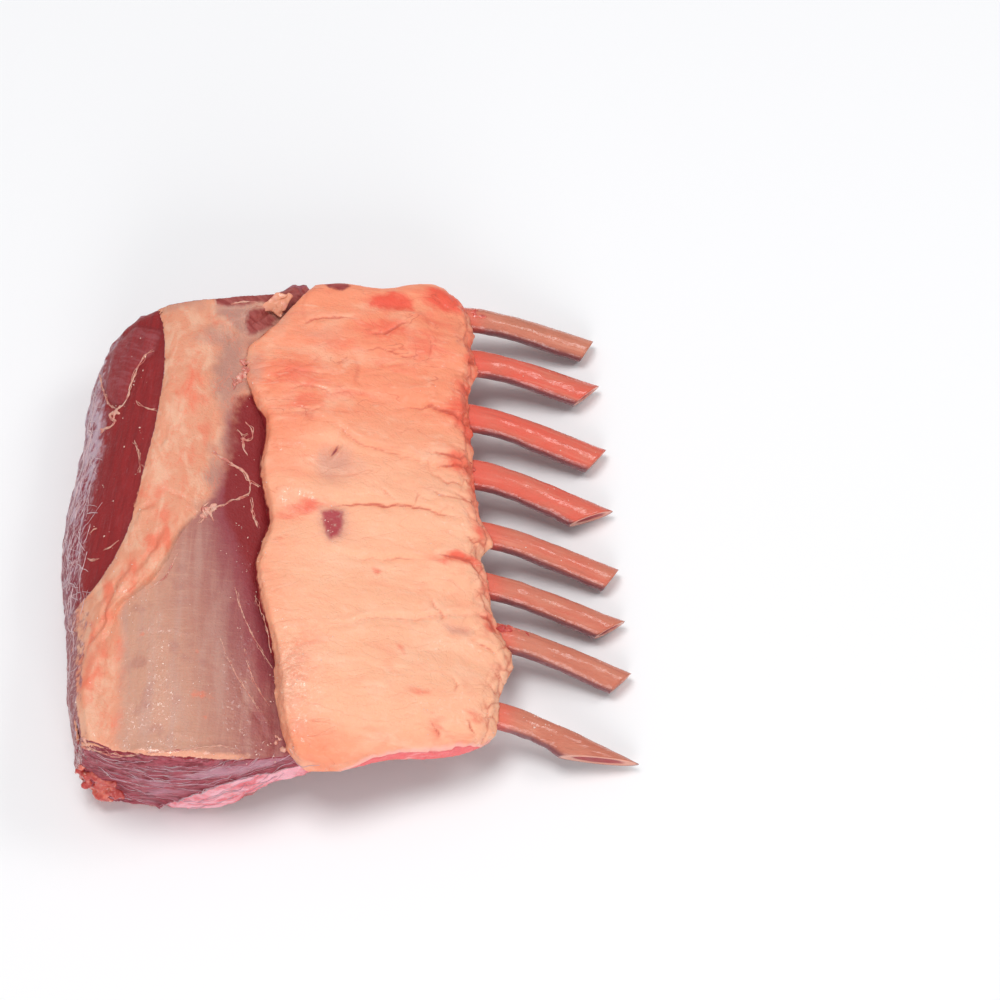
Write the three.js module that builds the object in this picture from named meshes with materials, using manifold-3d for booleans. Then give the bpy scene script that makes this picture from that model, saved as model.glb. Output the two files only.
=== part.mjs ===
// A frenched rack of lamb, raw, with its fat cap on: eight ribs of one side, lying on the bone side.
// Millimetres, +Z up. X runs across the rack from the chine side (-X) to the rib tips (+X), and
// Y along the back from the loin end (-Y) to the shoulder end (+Y). Inside this file the places are
// measured as u, across from the chine side, and v, along the back from the loin end.
import * as THREE from "three";
import { mergeVertices } from "three/addons/utils/BufferGeometryUtils.js";
import Module from "manifold-3d";

const wasm = await Module();
wasm.setup();

// ---- Driving dimensions ----------------------------------------------------------------------

const RACK_LENGTH = 200;
const TIP_U_LOIN_END = 211; // how far the ribs reach across, at the loin end and at the shoulder end
const TIP_U_SHOULDER_END = 198;
const GAP = 0.3; // between pieces that touch
const CLOSING_SHARE = 0.45; // how far up its side a slab's top and underside meet
const LEAN_SET_BACK = 4; // how far the lean stops short of the fat cap's free edge

// Each rib, from the loin end: where it leaves the meat along the back, its width, how far its bare
// end leans towards the loin end, and the angle of the tip's cut to the rib.
const RIBS = [
  { rootV: 28.5, width: 10.5, slantDeg: 20, tipCutDeg: 20 },
  { rootV: 60.5, width: 10.5, slantDeg: 16, tipCutDeg: 62 },
  { rootV: 81.5, width: 10.5, slantDeg: 14.5, tipCutDeg: 48 },
  { rootV: 103, width: 10.5, slantDeg: 14, tipCutDeg: 70 },
  { rootV: 129, width: 12.5, slantDeg: 14.5, tipCutDeg: 40 },
  { rootV: 154, width: 12, slantDeg: 12, tipCutDeg: 64 },
  { rootV: 179, width: 11.5, slantDeg: 8, tipCutDeg: 52 },
  { rootV: 199, width: 10.5, slantDeg: 6, tipCutDeg: 68 },
];
const RIB_THICKNESS = 7;
const RIB_CHINE_V = [32, 179]; // where the first and the last rib start, at the chine side
const RIB_SET_BACK = 3; // how far in from the chine side's widest line the ribs are sawn off

// Heights across the rack, as [u, z].
const RIB_LINE = [[4, 7.4], [40, 7.6], [62, 9.5], [85, 15], [118, 20.5], [148, 19.5], [166, 16],
  [211, 3.4]];
const LOIN_TOP = [[0, 40], [18, 44], [40, 47], [56, 46], [68, 42], [78, 37.5], [90, 34]];
const CAP_TOP = [[62, 43.5], [76, 45.5], [92, 45.5], [110, 42.8], [130, 38.6], [150, 32.6], [166, 26]];

// Outlines seen from above: the sides as [v, u], the ends as [u, v].
const CHINE_SIDE = [[0, 13], [12, 9], [30, 5], [55, 2.8], [95, -2.5], [132, 1.8], [168, 5], [190, 13],
  [200, 20]];
const LOIN_END = [[8, 8], [15, 4], [32, -1], [62, -2], [88, 5.5], [120, 10], [160, 20]];
const SHOULDER_END = [[14, 183], [24, 189.5], [60, 196], [82, 203.5], [120, 203], [150, 200]];
const CAP_BACK_EDGE = [[0, 92], [5, 87], [20, 82.5], [42, 80], [60, 75], [77, 72], [96, 76], [118, 72],
  [138, 73.5], [155, 65.5], [170, 64.5], [182, 74], [204, 90]];
const CAP_LOIN_END = [[70, 3], [102, 0.5], [122, 6], [146, 10.5], [160, 18], [168, 26]];
const CAP_SHOULDER_END = [[80, 202], [101, 204.5], [117, 203.5], [137, 209], [149, 201]];
const CAP_RIB_EDGE = [[0, 158], [17, 160.5], [40, 163.5], [49, 168], [58, 164], [67, 160], [84, 157.5],
  [90, 155], [98, 160], [107, 155], [140, 151.5], [163, 150.5], [172, 154], [184, 151], [190, 152.5],
  [204, 148]];
const FAT_BAND_CHINE_EDGE = [[0, 12], [30, 6], [50, 4.5], [63, 5], [66, 13], [83, 24], [116, 31], [150, 35],
  [177, 34], [198, 27]];
const FAT_BAND_CAP_EDGE = [[2, 29], [30, 24.5], [59, 27], [69, 40], [86, 47.5], [105, 59], [134, 59.5],
  [152, 62], [170, 61.5], [197, 80]];

// ---- Curves and shaping ----------------------------------------------------------------------

const { lerp, clamp, smoothstep, degToRad, inverseLerp } = THREE.MathUtils;

// A smooth curve y(x) through a few points, held level past its two ends.
function through(points) {
  const last = points.length - 1;
  const slopeAt = (i) => {
    const [before, after] = [points[Math.max(i - 1, 0)], points[Math.min(i + 1, last)]];
    return (after[1] - before[1]) / (after[0] - before[0]);
  };
  return (x) => {
    if (x <= points[0][0]) return points[0][1];
    if (x >= points[last][0]) return points[last][1];
    const i = points.findIndex((point, k) => k < last && x < points[k + 1][0]);
    const [[x0, y0], [x1, y1]] = [points[i], points[i + 1]];
    const [step, t] = [x1 - x0, (x - x0) / (x1 - x0)];
    const [t2, t3] = [t * t, t * t * t];
    return (2 * t3 - 3 * t2 + 1) * y0 + (t3 - 2 * t2 + t) * step * slopeAt(i)
      + (3 * t2 - 2 * t3) * y1 + (t3 - t2) * step * slopeAt(i + 1);
  };
}

// From 0 at an edge to 1 at `width` inside it, round like a quarter of an ellipse.
function shoulder(distance, width) {
  const t = clamp(distance / width, 0, 1);
  return Math.sqrt(1 - (1 - t) ** 2);
}

// A soft mound or hollow, 1 at its middle and fading to 0 with `radius`.
const mound = (distance, radius) => Math.exp(-((distance / radius) ** 2));

// Column places across a slab: closer together towards both sides, where the surface turns over.
function columns(count, crowding) {
  return Array.from({ length: count + 1 }, (_, k) => {
    const even = k / count;
    return lerp(even, 0.5 - 0.5 * Math.cos(Math.PI * even), crowding);
  });
}

// ---- Solids ----------------------------------------------------------------------------------

// A closed geometry through rings of points. A ring starts at its left side, goes over the top to
// its right side and back underneath, seen along the way from the first ring to the last.
function loft(rings) {
  const size = rings[0].length;
  const index = [];
  for (let j = 0; j < rings.length - 1; j++) {
    for (let k = 0; k < size; k++) {
      const [a, b] = [j * size + k, j * size + ((k + 1) % size)];
      const [c, d] = [b + size, a + size];
      index.push(...((j + k) % 2 ? [a, b, c, a, c, d] : [a, b, d, b, c, d]));
    }
  }
  const cap = (first, facing) => {
    for (let k = 0; k < size / 2; k++) {
      const [topLeft, topRight] = [k, k + 1];
      const [underLeft, underRight] = [(size - k) % size, size - k - 1];
      const faces = [];
      if (topLeft !== underLeft) faces.push([topLeft, underLeft, underRight]);
      if (topRight !== underRight) faces.push([topLeft, underRight, topRight]);
      for (const face of faces) index.push(...(facing ? face : face.reverse()).map((i) => first + i));
    }
  };
  cap(0, true);
  cap((rings.length - 1) * size, false);
  const geometry = new THREE.BufferGeometry();
  const places = rings.flat().flatMap((point) => point.toArray());
  geometry.setAttribute("position", new THREE.Float32BufferAttribute(places, 3));
  geometry.setIndex(index);
  return geometry;
}

// A slab with a top and an underside over a plan with four edges. `sides` gives its left and right
// edge by v, `ends` its first and last edge by u, and `rim(u, v, left, right)` how far each face has
// risen from the closing line between them, as [top, under] from 0 to 1.
function slab({ sides, ends, top, under, rim, across, stations, swell = 0 }) {
  const rings = stations.map(({ t, squeeze }) => {
    const along = (u) => lerp(ends[0](u) - swell, ends[1](u) + swell, t);
    const [left, right] = sides.map((side, i) => {
      let u = side(t * RACK_LENGTH);
      for (let pass = 0; pass < 4; pass++) u = side(along(u)); // where this row meets the side
      return u + (i ? swell : -swell);
    });
    const place = (s, upper) => {
      const u = lerp(left, right, s);
      const v = along(u);
      const [rise, fall] = rim(u, v, left, right);
      const [zTop, zUnder] = [top(u, v) + swell, under(u, v) - swell];
      const middle = lerp(zUnder, zTop, CLOSING_SHARE);
      const share = (upper ? rise : fall) * (1 - squeeze);
      return new THREE.Vector3(u, v, lerp(middle, upper ? zTop : zUnder, share));
    };
    const back = across.slice(1, -1).reverse();
    return [...across.map((s) => place(s, true)), ...back.map((s) => place(s, false))];
  });
  return loft(rings);
}

// Stations along the back, with the first and last few squeezed so that a cut end has a worn edge.
function stationsAlong(count, edge) {
  const rows = Array.from({ length: count - 1 }, (_, k) => ({ t: (k + 1) / count, squeeze: 0 }));
  const start = [{ t: 0, squeeze: edge }, { t: 0.008, squeeze: edge * 0.3 }, { t: 0.022, squeeze: 0 }];
  const finish = start.map(({ t, squeeze }) => ({ t: 1 - t, squeeze })).reverse();
  return [...start, ...rows, ...finish];
}

function toSolid(geometry) {
  const bare = geometry.clone();
  for (const name of ["normal", "uv"]) bare.deleteAttribute(name);
  const merged = mergeVertices(bare, 1e-4);
  return new wasm.Manifold(new wasm.Mesh({
    numProp: 3,
    vertProperties: new Float32Array(merged.attributes.position.array),
    triVerts: new Uint32Array(merged.index.array),
  }));
}

function toGeometry(solid) {
  const { vertProperties, triVerts } = solid.getMesh();
  const geometry = new THREE.BufferGeometry();
  geometry.setAttribute("position", new THREE.BufferAttribute(vertProperties, 3));
  geometry.setIndex(new THREE.BufferAttribute(triVerts, 1));
  geometry.computeVertexNormals();
  return geometry;
}

// ---- Ribs ------------------------------------------------------------------------------------

const ribHeight = through(RIB_LINE);
const chineSide = through(CHINE_SIDE);
const capRibEdge = through(CAP_RIB_EDGE);
const alongRack = (index, [first, last]) => lerp(first, last, index / (RIBS.length - 1));
const tipLine = (index) => alongRack(index, [TIP_U_LOIN_END, TIP_U_SHOULDER_END]);

// The line that a rib's middle follows, from its sawn end at the chine side to its tip. It leaves
// the backbone square to it and leans towards the loin end more and more.
function ribPath(index) {
  const { rootV, slantDeg } = RIBS[index];
  const rootU = capRibEdge(rootV);
  const startV = alongRack(index, RIB_CHINE_V);
  const startU = chineSide(startV) + RIB_SET_BACK;
  const tipU = tipLine(index);
  const slant = Math.tan(degToRad(slantDeg));
  const bend = lerp(startU, rootU, 0.62);
  const bendV = lerp(startV, rootV, 0.55) + 3;
  const tipV = rootV - slant * (tipU - rootU);
  const plan = through([[startU, startV], [bend, bendV], [rootU, rootV], [tipU, tipV]]);
  const reach = tipLine(0) / tipU; // shorter ribs still come down to the table at their tips
  const heightAt = (u) => ribHeight(u * lerp(1, reach, clamp(inverseLerp(rootU, tipU, u), 0, 1)));
  return (u) => new THREE.Vector3(u, plan(u), heightAt(u));
}

// One rib as a flattened rod, a little waisted where it leaves the meat. `swell` makes it fatter all
// round, for the channel that it lies in.
function ribRod(index, swell) {
  const path = ribPath(index);
  const { rootV, width } = RIBS[index];
  const startU = chineSide(alongRack(index, RIB_CHINE_V)) + RIB_SET_BACK - swell;
  const [tipU, rootU] = [tipLine(index) + swell, capRibEdge(rootV)];
  const [rings, sides] = [12, 10];
  const up = new THREE.Vector3(0, 0, 1);
  return loft(Array.from({ length: rings + 1 }, (_, j) => {
    const u = lerp(startU, tipU, j / rings);
    const ahead = path(u + 0.5).sub(path(u - 0.5)).normalize();
    const right = new THREE.Vector3().crossVectors(ahead, up).normalize();
    const over = new THREE.Vector3().crossVectors(right, ahead);
    const waist = 1 - 0.07 * mound(u - rootU - 14, 12);
    const [halfWidth, halfThickness] = [(width / 2) * waist + swell, RIB_THICKNESS / 2 + swell];
    return Array.from({ length: sides }, (_, k) => {
      const angle = Math.PI - (2 * Math.PI * k) / sides;
      const [x, z] = [Math.cos(angle), Math.sin(angle)];
      return path(u)
        .addScaledVector(right, Math.sign(x) * Math.abs(x) ** 0.85 * halfWidth)
        .addScaledVector(over, Math.sign(z) * Math.abs(z) ** 0.9 * halfThickness);
    });
  }));
}

// What the slanting cut at a rib's tip takes away: a block against the side that faces the loin end,
// and a shallow lens along the cut, where the marrow has shrunk back.
function tipWaste(index) {
  const { width, slantDeg, tipCutDeg } = RIBS[index];
  const point = ribPath(index)(tipLine(index));
  point.y += (width / 2) * Math.cos(degToRad(slantDeg));
  const block = new THREE.BoxGeometry(80, 40, 40).translate(0, -20, 0);
  const cutLength = Math.min(width / Math.sin(degToRad(tipCutDeg)), 26);
  const lens = new THREE.SphereGeometry(1, 10, 8).scale(cutLength * 0.32, 1.6, 1.5);
  return [block, lens.translate(-cutLength * 0.46, 0, 0.2)].map((shape) =>
    toSolid(shape.rotateZ(degToRad(tipCutDeg - slantDeg)).translate(point.x, point.y, point.z)));
}

function ribSolid(index) {
  return tipWaste(index).reduce((rib, waste) => rib.subtract(waste), toSolid(ribRod(index, 0)));
}

// ---- Lean meat -------------------------------------------------------------------------------

const loinTop = through(LOIN_TOP);
const capBackEdge = through(CAP_BACK_EDGE);
const [loinEnd, shoulderEnd] = [through(LOIN_END), through(SHOULDER_END)];

// Under the fat cap the lean thins out from the eye of the loin to a skin over the ribs.
function leanTop(u, v) {
  const overRibs = ribHeight(u) + RIB_THICKNESS / 2 + lerp(12, 1.4, smoothstep(u, 78, 146));
  const height = lerp(loinTop(u), overRibs, smoothstep(u, 74, 96));
  const endFall = 2.5 * mound(v, 26) + 3.5 * mound(v - RACK_LENGTH, 34);
  const middleSwell = 2 * mound(v - 95, 60) * mound(u - 30, 30);
  return height - endFall * smoothstep(u, 0, 40) * (1 - smoothstep(u, 70, 100)) + middleSwell;
}

// The underside lies flat under the loin, then arches up with the ribs, which stand out of it.
function leanUnder(u) {
  const betweenRibs = ribHeight(u) - RIB_THICKNESS / 2 + 1.2;
  return lerp(0, betweenRibs, smoothstep(u, 52, 78));
}

// The chine side is square at the loin end and round along the rest.
function leanRim(u, v, left, right) {
  const topWidth = lerp(9, 34, smoothstep(v, 15, 75));
  return [
    shoulder(u - left, topWidth) * shoulder(right - u, 4),
    shoulder(u - left, 9) * shoulder(right - u, 4),
  ];
}

function leanSlab(swell) {
  return toSolid(slab({
    sides: [chineSide, (v) => capRibEdge(v) - LEAN_SET_BACK],
    ends: [loinEnd, shoulderEnd],
    top: leanTop,
    under: leanUnder,
    rim: leanRim,
    across: columns(20, 0.45),
    stations: stationsAlong(20, 0.14),
    swell,
  }));
}

// Ragged scraps that the saw left at the chine corner of the loin end.
function chineScraps() {
  const scraps = [[17, 5, 13, 4.5], [22, 3, 8, 5], [29, 2, 5, 4]];
  return scraps.map(([u, v, z, radius], i) =>
    toSolid(new THREE.IcosahedronGeometry(radius, 1).rotateX(i).scale(1.15, 0.8, 0.9).translate(u, v, z)));
}

function leanSolid() {
  const channels = RIBS.map((_, i) => toSolid(ribRod(i, GAP)));
  const body = chineScraps().reduce((whole, scrap) => whole.add(scrap), leanSlab(0));
  return channels.reduce((whole, channel) => whole.subtract(channel), body);
}

// ---- Fat -------------------------------------------------------------------------------------

// A valley where the fat sinks between two ribs, deeper towards the bare bones.
function ribValleys(u, v) {
  let depth = 0;
  for (let i = 0; i < RIBS.length - 1; i++) {
    const middle = (RIBS[i].rootV + RIBS[i + 1].rootV) / 2;
    const line = middle + (160 - u) * 0.05 + 2 * Math.sin(u / 17 + i * 2.1);
    depth += mound(v - line, 6) * lerp(0.4, 1.8, smoothstep(u, 90, 150));
  }
  return depth;
}

// The small dimple in the cap, over the back of the fifth rib.
const dimple = (u, v) => 2 * mound(Math.hypot(u - 97, v - 117), 7);

const capTopLine = through(CAP_TOP);
const [capLoinEnd, capShoulderEnd] = [through(CAP_LOIN_END), through(CAP_SHOULDER_END)];

// The cap is lowest at its two ends and swells and sinks a little along the back.
const capTop = (u, v) => capTopLine(u) - ribValleys(u, v) - dimple(u, v)
  - 2 * mound(v, 18) - 3 * mound(v - RACK_LENGTH, 22) + 0.8 * Math.sin(v / 13 + u / 23);

// Its underside follows the lean and closes over the ribs along its free edge.
const capUnder = (u, v) => lerp(leanTop(u, v) - 3, ribHeight(u) - 1, smoothstep(u, 120, 156));

function capRim(u, v, left, right) {
  const ends = shoulder(v - capLoinEnd(u), 9) * shoulder(capShoulderEnd(u) - v, 9);
  const top = shoulder(u - left, 5) * shoulder(right - u, 8) * lerp(0.45, 1, ends);
  return [top, shoulder(u - left, 3) * shoulder(right - u, 3)];
}

function capSolid(leanGrown, ribsGrown) {
  const cap = toSolid(slab({
    sides: [capBackEdge, capRibEdge],
    ends: [capLoinEnd, capShoulderEnd],
    top: capTop,
    under: capUnder,
    rim: capRim,
    across: columns(15, 0.5),
    stations: stationsAlong(32, 0.2),
  }));
  return ribsGrown.reduce((whole, rib) => whole.subtract(rib), cap.subtract(leanGrown));
}

// The height of the lean's surface, with its rounded sides.
function leanSurface(u, v) {
  const [rise] = leanRim(u, v, chineSide(v), capRibEdge(v) - LEAN_SET_BACK);
  return lerp(lerp(leanUnder(u), leanTop(u, v), CLOSING_SHARE), leanTop(u, v), rise);
}

// The band of fat left along the back, from the shoulder end to the chine corner of the loin end. It
// is thickest where its flap ends over the eye of the loin.
function fatBandSolid(leanGrown) {
  const thickness = (u, v) => 1.9 + 0.7 * Math.sin(v / 11) * Math.sin(u / 6) + 1.2 * mound(v - 66, 16);
  const band = toSolid(slab({
    sides: [through(FAT_BAND_CHINE_EDGE), through(FAT_BAND_CAP_EDGE)],
    ends: [(u) => loinEnd(u) + 2.5, (u) => shoulderEnd(u) - 2],
    top: (u, v) => leanSurface(u, v) + thickness(u, v),
    under: (u, v) => leanSurface(u, v) - 5,
    rim: (u, v, left, right) => [lerp(0.75, 1, shoulder(u - left, 3) * shoulder(right - u, 3)), 1],
    across: columns(7, 0.4),
    stations: stationsAlong(20, 0.1),
  }));
  return band.subtract(leanGrown);
}

// ---- The rack --------------------------------------------------------------------------------

function finish(name, solid, { color, roughness }) {
  const material = new THREE.MeshStandardMaterial({ color, roughness, metalness: 0 });
  const mesh = new THREE.Mesh(toGeometry(solid), material);
  mesh.name = name;
  return mesh;
}

const LEAN = { color: 0x9c2f38, roughness: 0.35 };
const FAT = { color: 0xf3c19b, roughness: 0.45 };
const BONE = { color: 0xd08a70, roughness: 0.4 };

const rack = new THREE.Group();
const leanGrown = leanSlab(GAP);
const ribsGrown = RIBS.map((_, i) => toSolid(ribRod(i, GAP)));
rack.add(finish("lean_meat", leanSolid(), LEAN));
rack.add(finish("fat_cap", capSolid(leanGrown, ribsGrown), FAT));
rack.add(finish("back_fat_band", fatBandSolid(leanGrown), FAT));
RIBS.forEach((_, i) => rack.add(finish(`rib_${i + 1}`, ribSolid(i), BONE)));

// The origin is under the middle of the whole rack, on the surface that it lies on.
const reach = new THREE.Box3().setFromObject(rack);
const middle = reach.getCenter(new THREE.Vector3());
for (const piece of rack.children) piece.position.set(-middle.x, -middle.y, -reach.min.z);

export default rack;
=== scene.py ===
# A raw frenched rack of lamb, bone side down: lean meat with its fat band and fat cap, over eight ribs
# scraped bare at one side. +X runs across it to the rib tips and +Y along the back to the shoulder end.
# Places on the rack are u and v, millimetres across from the chine side and along the back.
import functools
import itertools
import math

import bmesh
import bpy
import numpy as np
from mathutils import Matrix, Quaternion, Vector
from mathutils.bvhtree import BVHTree


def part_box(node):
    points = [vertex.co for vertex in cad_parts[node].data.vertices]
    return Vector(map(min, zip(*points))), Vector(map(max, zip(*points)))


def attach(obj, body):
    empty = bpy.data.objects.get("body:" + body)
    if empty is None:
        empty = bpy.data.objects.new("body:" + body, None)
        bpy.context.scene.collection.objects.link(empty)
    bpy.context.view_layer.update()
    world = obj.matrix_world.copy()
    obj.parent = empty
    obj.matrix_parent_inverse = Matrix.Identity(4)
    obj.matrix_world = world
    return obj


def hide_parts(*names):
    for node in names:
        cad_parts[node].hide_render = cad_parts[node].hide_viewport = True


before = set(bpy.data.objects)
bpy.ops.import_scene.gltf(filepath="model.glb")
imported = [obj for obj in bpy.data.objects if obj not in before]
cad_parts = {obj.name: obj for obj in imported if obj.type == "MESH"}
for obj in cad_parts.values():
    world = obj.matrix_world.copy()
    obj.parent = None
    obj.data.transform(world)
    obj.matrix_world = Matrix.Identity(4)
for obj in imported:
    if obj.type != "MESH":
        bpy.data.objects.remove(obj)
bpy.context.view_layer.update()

# ---- Table and light --------------------------------------------------------------------------
# The rack lies on a plain white table in a bright room, under one soft light overhead, with weaker ones
# at the loin end and past the rib tips.

TABLE_SIZE = 6.0
TABLE_WHITE = (0.94, 0.94, 0.95, 1)
TABLE_ROUGHNESS = 0.9
LIGHTS = {  # place, size, power in watts
    "overhead_softbox": ((-0.24, 0.16, 1.75), 0.75, 15.5),
    "loin_end_softbox": ((0.1, -1.35, 0.55), 0.8, 8),
    "rib_side_softbox": ((0.95, 0.33, 1.1), 0.5, 3.8),
}
ROOM_WHITE = (0.97, 0.98, 1.0, 1)
ROOM_LIGHT = 0.35

table_mesh = bpy.data.meshes.new("table")
corners = [(x * TABLE_SIZE / 2, y * TABLE_SIZE / 2, 0) for x, y in ((-1, -1), (1, -1), (1, 1), (-1, 1))]
table_mesh.from_pydata(corners, [], [(0, 1, 2, 3)])
table = bpy.data.objects.new("table", table_mesh)
bpy.context.collection.objects.link(table)
table_paint = bpy.data.materials.new("white_table")
table_paint.use_nodes = True
table_shader = table_paint.node_tree.nodes["Principled BSDF"]
table_shader.inputs["Base Color"].default_value = TABLE_WHITE
table_shader.inputs["Roughness"].default_value = TABLE_ROUGHNESS
table_mesh.materials.append(table_paint)

for name, (place, size, power) in LIGHTS.items():
    lamp = bpy.data.lights.new(name, "AREA")
    lamp.size = size
    lamp.energy = power
    light = bpy.data.objects.new(name, lamp)
    light.location = place
    light.rotation_mode = "QUATERNION"
    light.rotation_quaternion = Vector(place).to_track_quat("Z", "Y")
    bpy.context.collection.objects.link(light)

room = bpy.data.worlds.new("bright_room")
room.use_nodes = True
room_glow = room.node_tree.nodes["Background"]
room_glow.inputs["Color"].default_value = ROOM_WHITE
room_glow.inputs["Strength"].default_value = ROOM_LIGHT
bpy.context.scene.world = room
bpy.context.scene.view_settings.view_transform = "Standard"

# ---- Camera -----------------------------------------------------------------------------------
# It looks along the rack's back from the loin end, 60 degrees above the table. The rack lies in the
# left half of its view.

LOOKS_AT = Vector((0.0573, 0.0257, 0))
CAMERA_HEIGHT_DEG = 60
CAMERA_DISTANCE = 1.15
LENS_MM = 107.5
SENSOR_MM = 36

camera = bpy.data.objects.new("camera", bpy.data.cameras.new("camera"))
camera.data.lens = LENS_MM
camera.data.sensor_width = SENSOR_MM
rise = math.radians(CAMERA_HEIGHT_DEG)
camera.location = LOOKS_AT + CAMERA_DISTANCE * Vector((0, -math.cos(rise), math.sin(rise)))
camera.rotation_euler = (math.pi / 2 - rise, 0, 0)
bpy.context.collection.objects.link(camera)
bpy.context.scene.camera = camera

# ---- Lean meat --------------------------------------------------------------------------------
# All the muscle of the rack in one piece: the eye of the loin, the muscle over the chine side and the
# flesh between the ribs. The eye is wrapped in silverskin; the rest was cut with a knife and is bare.

MM = 0.001
LEAN_FACE_MM = 1.09  # the size of the faces of its surface
OVERHANG_MM = 2.5  # how far the lean reaches out past where u and v are 0

lean_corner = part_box("lean_meat")[0]
U_START, V_START = lean_corner.x + OVERHANG_MM * MM, lean_corner.y + OVERHANG_MM * MM

# Borders seen from above, as (v, u). The bare red muscle of the chine side ends at the fat band, which
# thins out over the silverskin, and that ends at a strip of bare muscle along the fat cap.
RED_BORDER = [(60, 3), (66, 10), (69, 19), (74, 21), (79, 26), (89, 28), (100, 28), (115, 32), (136, 35),
              (160, 36), (180, 35), (198, 28)]
BAND_BORDER = [(0, 27), (15, 28), (30, 28), (47, 27), (55, 25.5), (60, 27), (63, 30.5), (68, 37.5),
               (79, 42.5), (87, 45.5), (93, 49.5), (98, 53.5), (107, 58), (121, 61), (139, 61), (149, 64),
               (153, 73), (160, 82), (205, 82)]
BAND_FADE = [(0, 4), (45, 4), (56, 1.8), (80, 1.4), (98, 1.8), (113, 4.5), (135, 6), (150, 5)]  # (v, mm)
STRIP_BORDER = [(0, 96), (25, 92), (34, 85), (42, 80), (50, 77), (57, 74.5), (65, 72), (71, 69.5), (84, 65),
                (97, 60), (113, 60), (129, 60), (146, 62), (151, 64), (154, 70), (160, 86), (200, 90)]
STRIP_FADE = [(20, 11), (60, 6), (90, 4), (105, 1.6), (160, 1.3)]
NET_BORDER = [(10, 8), (40, 6), (60, 7), (75, 9), (85, 10), (104, 11), (125, 13), (143, 14), (152, 12),
              (170, 9)]  # how far the net of threads reaches up the chine side
RED_FROM_V = 60  # the bare red muscle starts past the loin end's silverskin

# Borders at the ends, as (u, v) where nothing else is said: the cut flesh of the shoulder end, the top
# edge of the cut loin end, and the height of the membrane across that end.
FAR_BORDER = [(30, 204), (50, 200), (54, 189), (58, 188.5), (65, 190.5), (70, 193.5), (80, 191.5), (90, 199)]
LOIN_RIM = [(8, 8), (15, 4), (32, -1), (62, -1), (88, 4.5), (120, 10)]
MEMBRANE = [(30, -4), (36, 0), (40, 4), (47, 12), (57, 20.5), (66, 24), (74, 24.5), (80, 22)]  # (u, z)

# Outlines of muscles that stand on their own, as (u, v).
CHINE_MUSCLE = [(9, 168), (10, 161), (13, 152), (17, 147), (21, 146), (23, 152), (25, 161), (31, 168),
                (34, 178), (22, 184), (11, 177)]
SHOULDER_MUSCLE = [(66, 189), (72, 192), (77, 190), (75, 185), (71, 181), (66, 178), (64.5, 184)]

# Patches, each as its middle, its reach both ways and its strength.
SILVER_STAINS = [(56, 23, 3.5, 1.6, 0.8), (35, 45, 1.3, 1.2, 0.7), (54, 41, 1.3, 1.2, 0.7),
                 (47, 34, 1, 1, 0.6), (29, 29, 1, 1, 0.6), (43, 17, 1, 1, 0.6), (57, 15, 1.2, 0.8, 0.6),
                 (37, 30, 1, 0.8, 0.6), (42, 26, 0.8, 0.8, 0.6)]
TORN_UP = [(80.5, 201, 4, 6, 0.6), (85, 203, 5, 7, 1.0)]  # where the shoulder end's flesh was torn up
TORN_UP_MM = 4.6
# Painted sheen on the cut loin end:
FACE_SHEEN = [(62, 33, 15, 6, 1.0), (74, 30, 12, 5, 0.9), (36, 24, 10, 5, 0.5), (48, 14, 14, 5, 0.6),
              (28, 38, 8, 3, 0.5)]  # on the cut loin end, as (u, z)
FACE_DARK = [(52, 40, 9, 2.5, 1.0), (40, 36, 8, 3, 0.7), (75, 26, 8, 1.5, 0.8), (30, 30, 8, 3, 0.6)]
SILVER_FOLDS = [  # route, depth and width in mm
    ([(67, 34), (69, 30), (70, 26), (75, 20), (79, 13), (84, 7)], 0.7, 0.9),
    ([(62, 44), (64, 38), (67, 33)], 0.4, 0.8),
    ([(48, 6), (56, 5), (66, 7), (78, 8)], 0.5, 0.9),
    ([(34, 47), (44, 46), (56, 44)], 0.25, 0.8),
]


def srgb(red, green, blue):
    """A paint colour from its 8-bit parts."""
    parts = [part / 255 for part in (red, green, blue)]
    return (*[((p + 0.055) / 1.055) ** 2.4 if p > 0.04 else p / 12.92 for p in parts], 1)


WELD = 1e-6  # metres; corners of a solid that lie closer are one corner
LATTICE, PEBBLE_LATTICE = 64, 32  # after how many lumps or pebbles their pattern repeats
FARTHEST = 9.0  # farther than any pebble's middle is, in pebbles


def even_skin(rough, face_mm, smoothing):
    """A finely and evenly faced copy of a rough closed mesh, its corners rounded a little."""
    maker = bpy.data.objects.new("rough", rough)
    bpy.context.collection.objects.link(maker)
    remesh = maker.modifiers.new("faces", "REMESH")
    remesh.mode = "VOXEL"
    remesh.voxel_size = face_mm * MM
    smooth = maker.modifiers.new("smooth", "SMOOTH")
    smooth.factor = 0.5
    smooth.iterations = smoothing
    skin = bpy.data.meshes.new_from_object(maker.evaluated_get(bpy.context.evaluated_depsgraph_get()))
    bpy.data.objects.remove(maker)
    bpy.data.meshes.remove(rough)
    skin.materials.clear()
    return skin


def node_skin(node, face_mm, smoothing=3):
    """An even skin of a CAD node."""
    rough = bpy.data.meshes.new("rough")
    solid = bmesh.new()
    solid.from_mesh(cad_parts[node].data)
    bmesh.ops.remove_doubles(solid, verts=solid.verts, dist=WELD)
    solid.to_mesh(rough)
    solid.free()
    return even_skin(rough, face_mm, smoothing)


def read_skin(skin):
    """A skin's places as u, v and height in mm, and its normals."""
    flat, normals = np.empty(len(skin.vertices) * 3), np.empty(len(skin.vertices) * 3)
    skin.vertices.foreach_get("co", flat)
    skin.vertex_normals.foreach_get("vector", normals)
    return (flat.reshape(-1, 3) - [U_START, V_START, 0]) / MM, normals.reshape(-1, 3)


def reshape_skin(skin, places):
    """Moves a skin's vertices to new places, given as u, v and height in mm."""
    skin.vertices.foreach_set("co", (places * MM + [U_START, V_START, 0]).ravel())
    skin.update()


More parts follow.
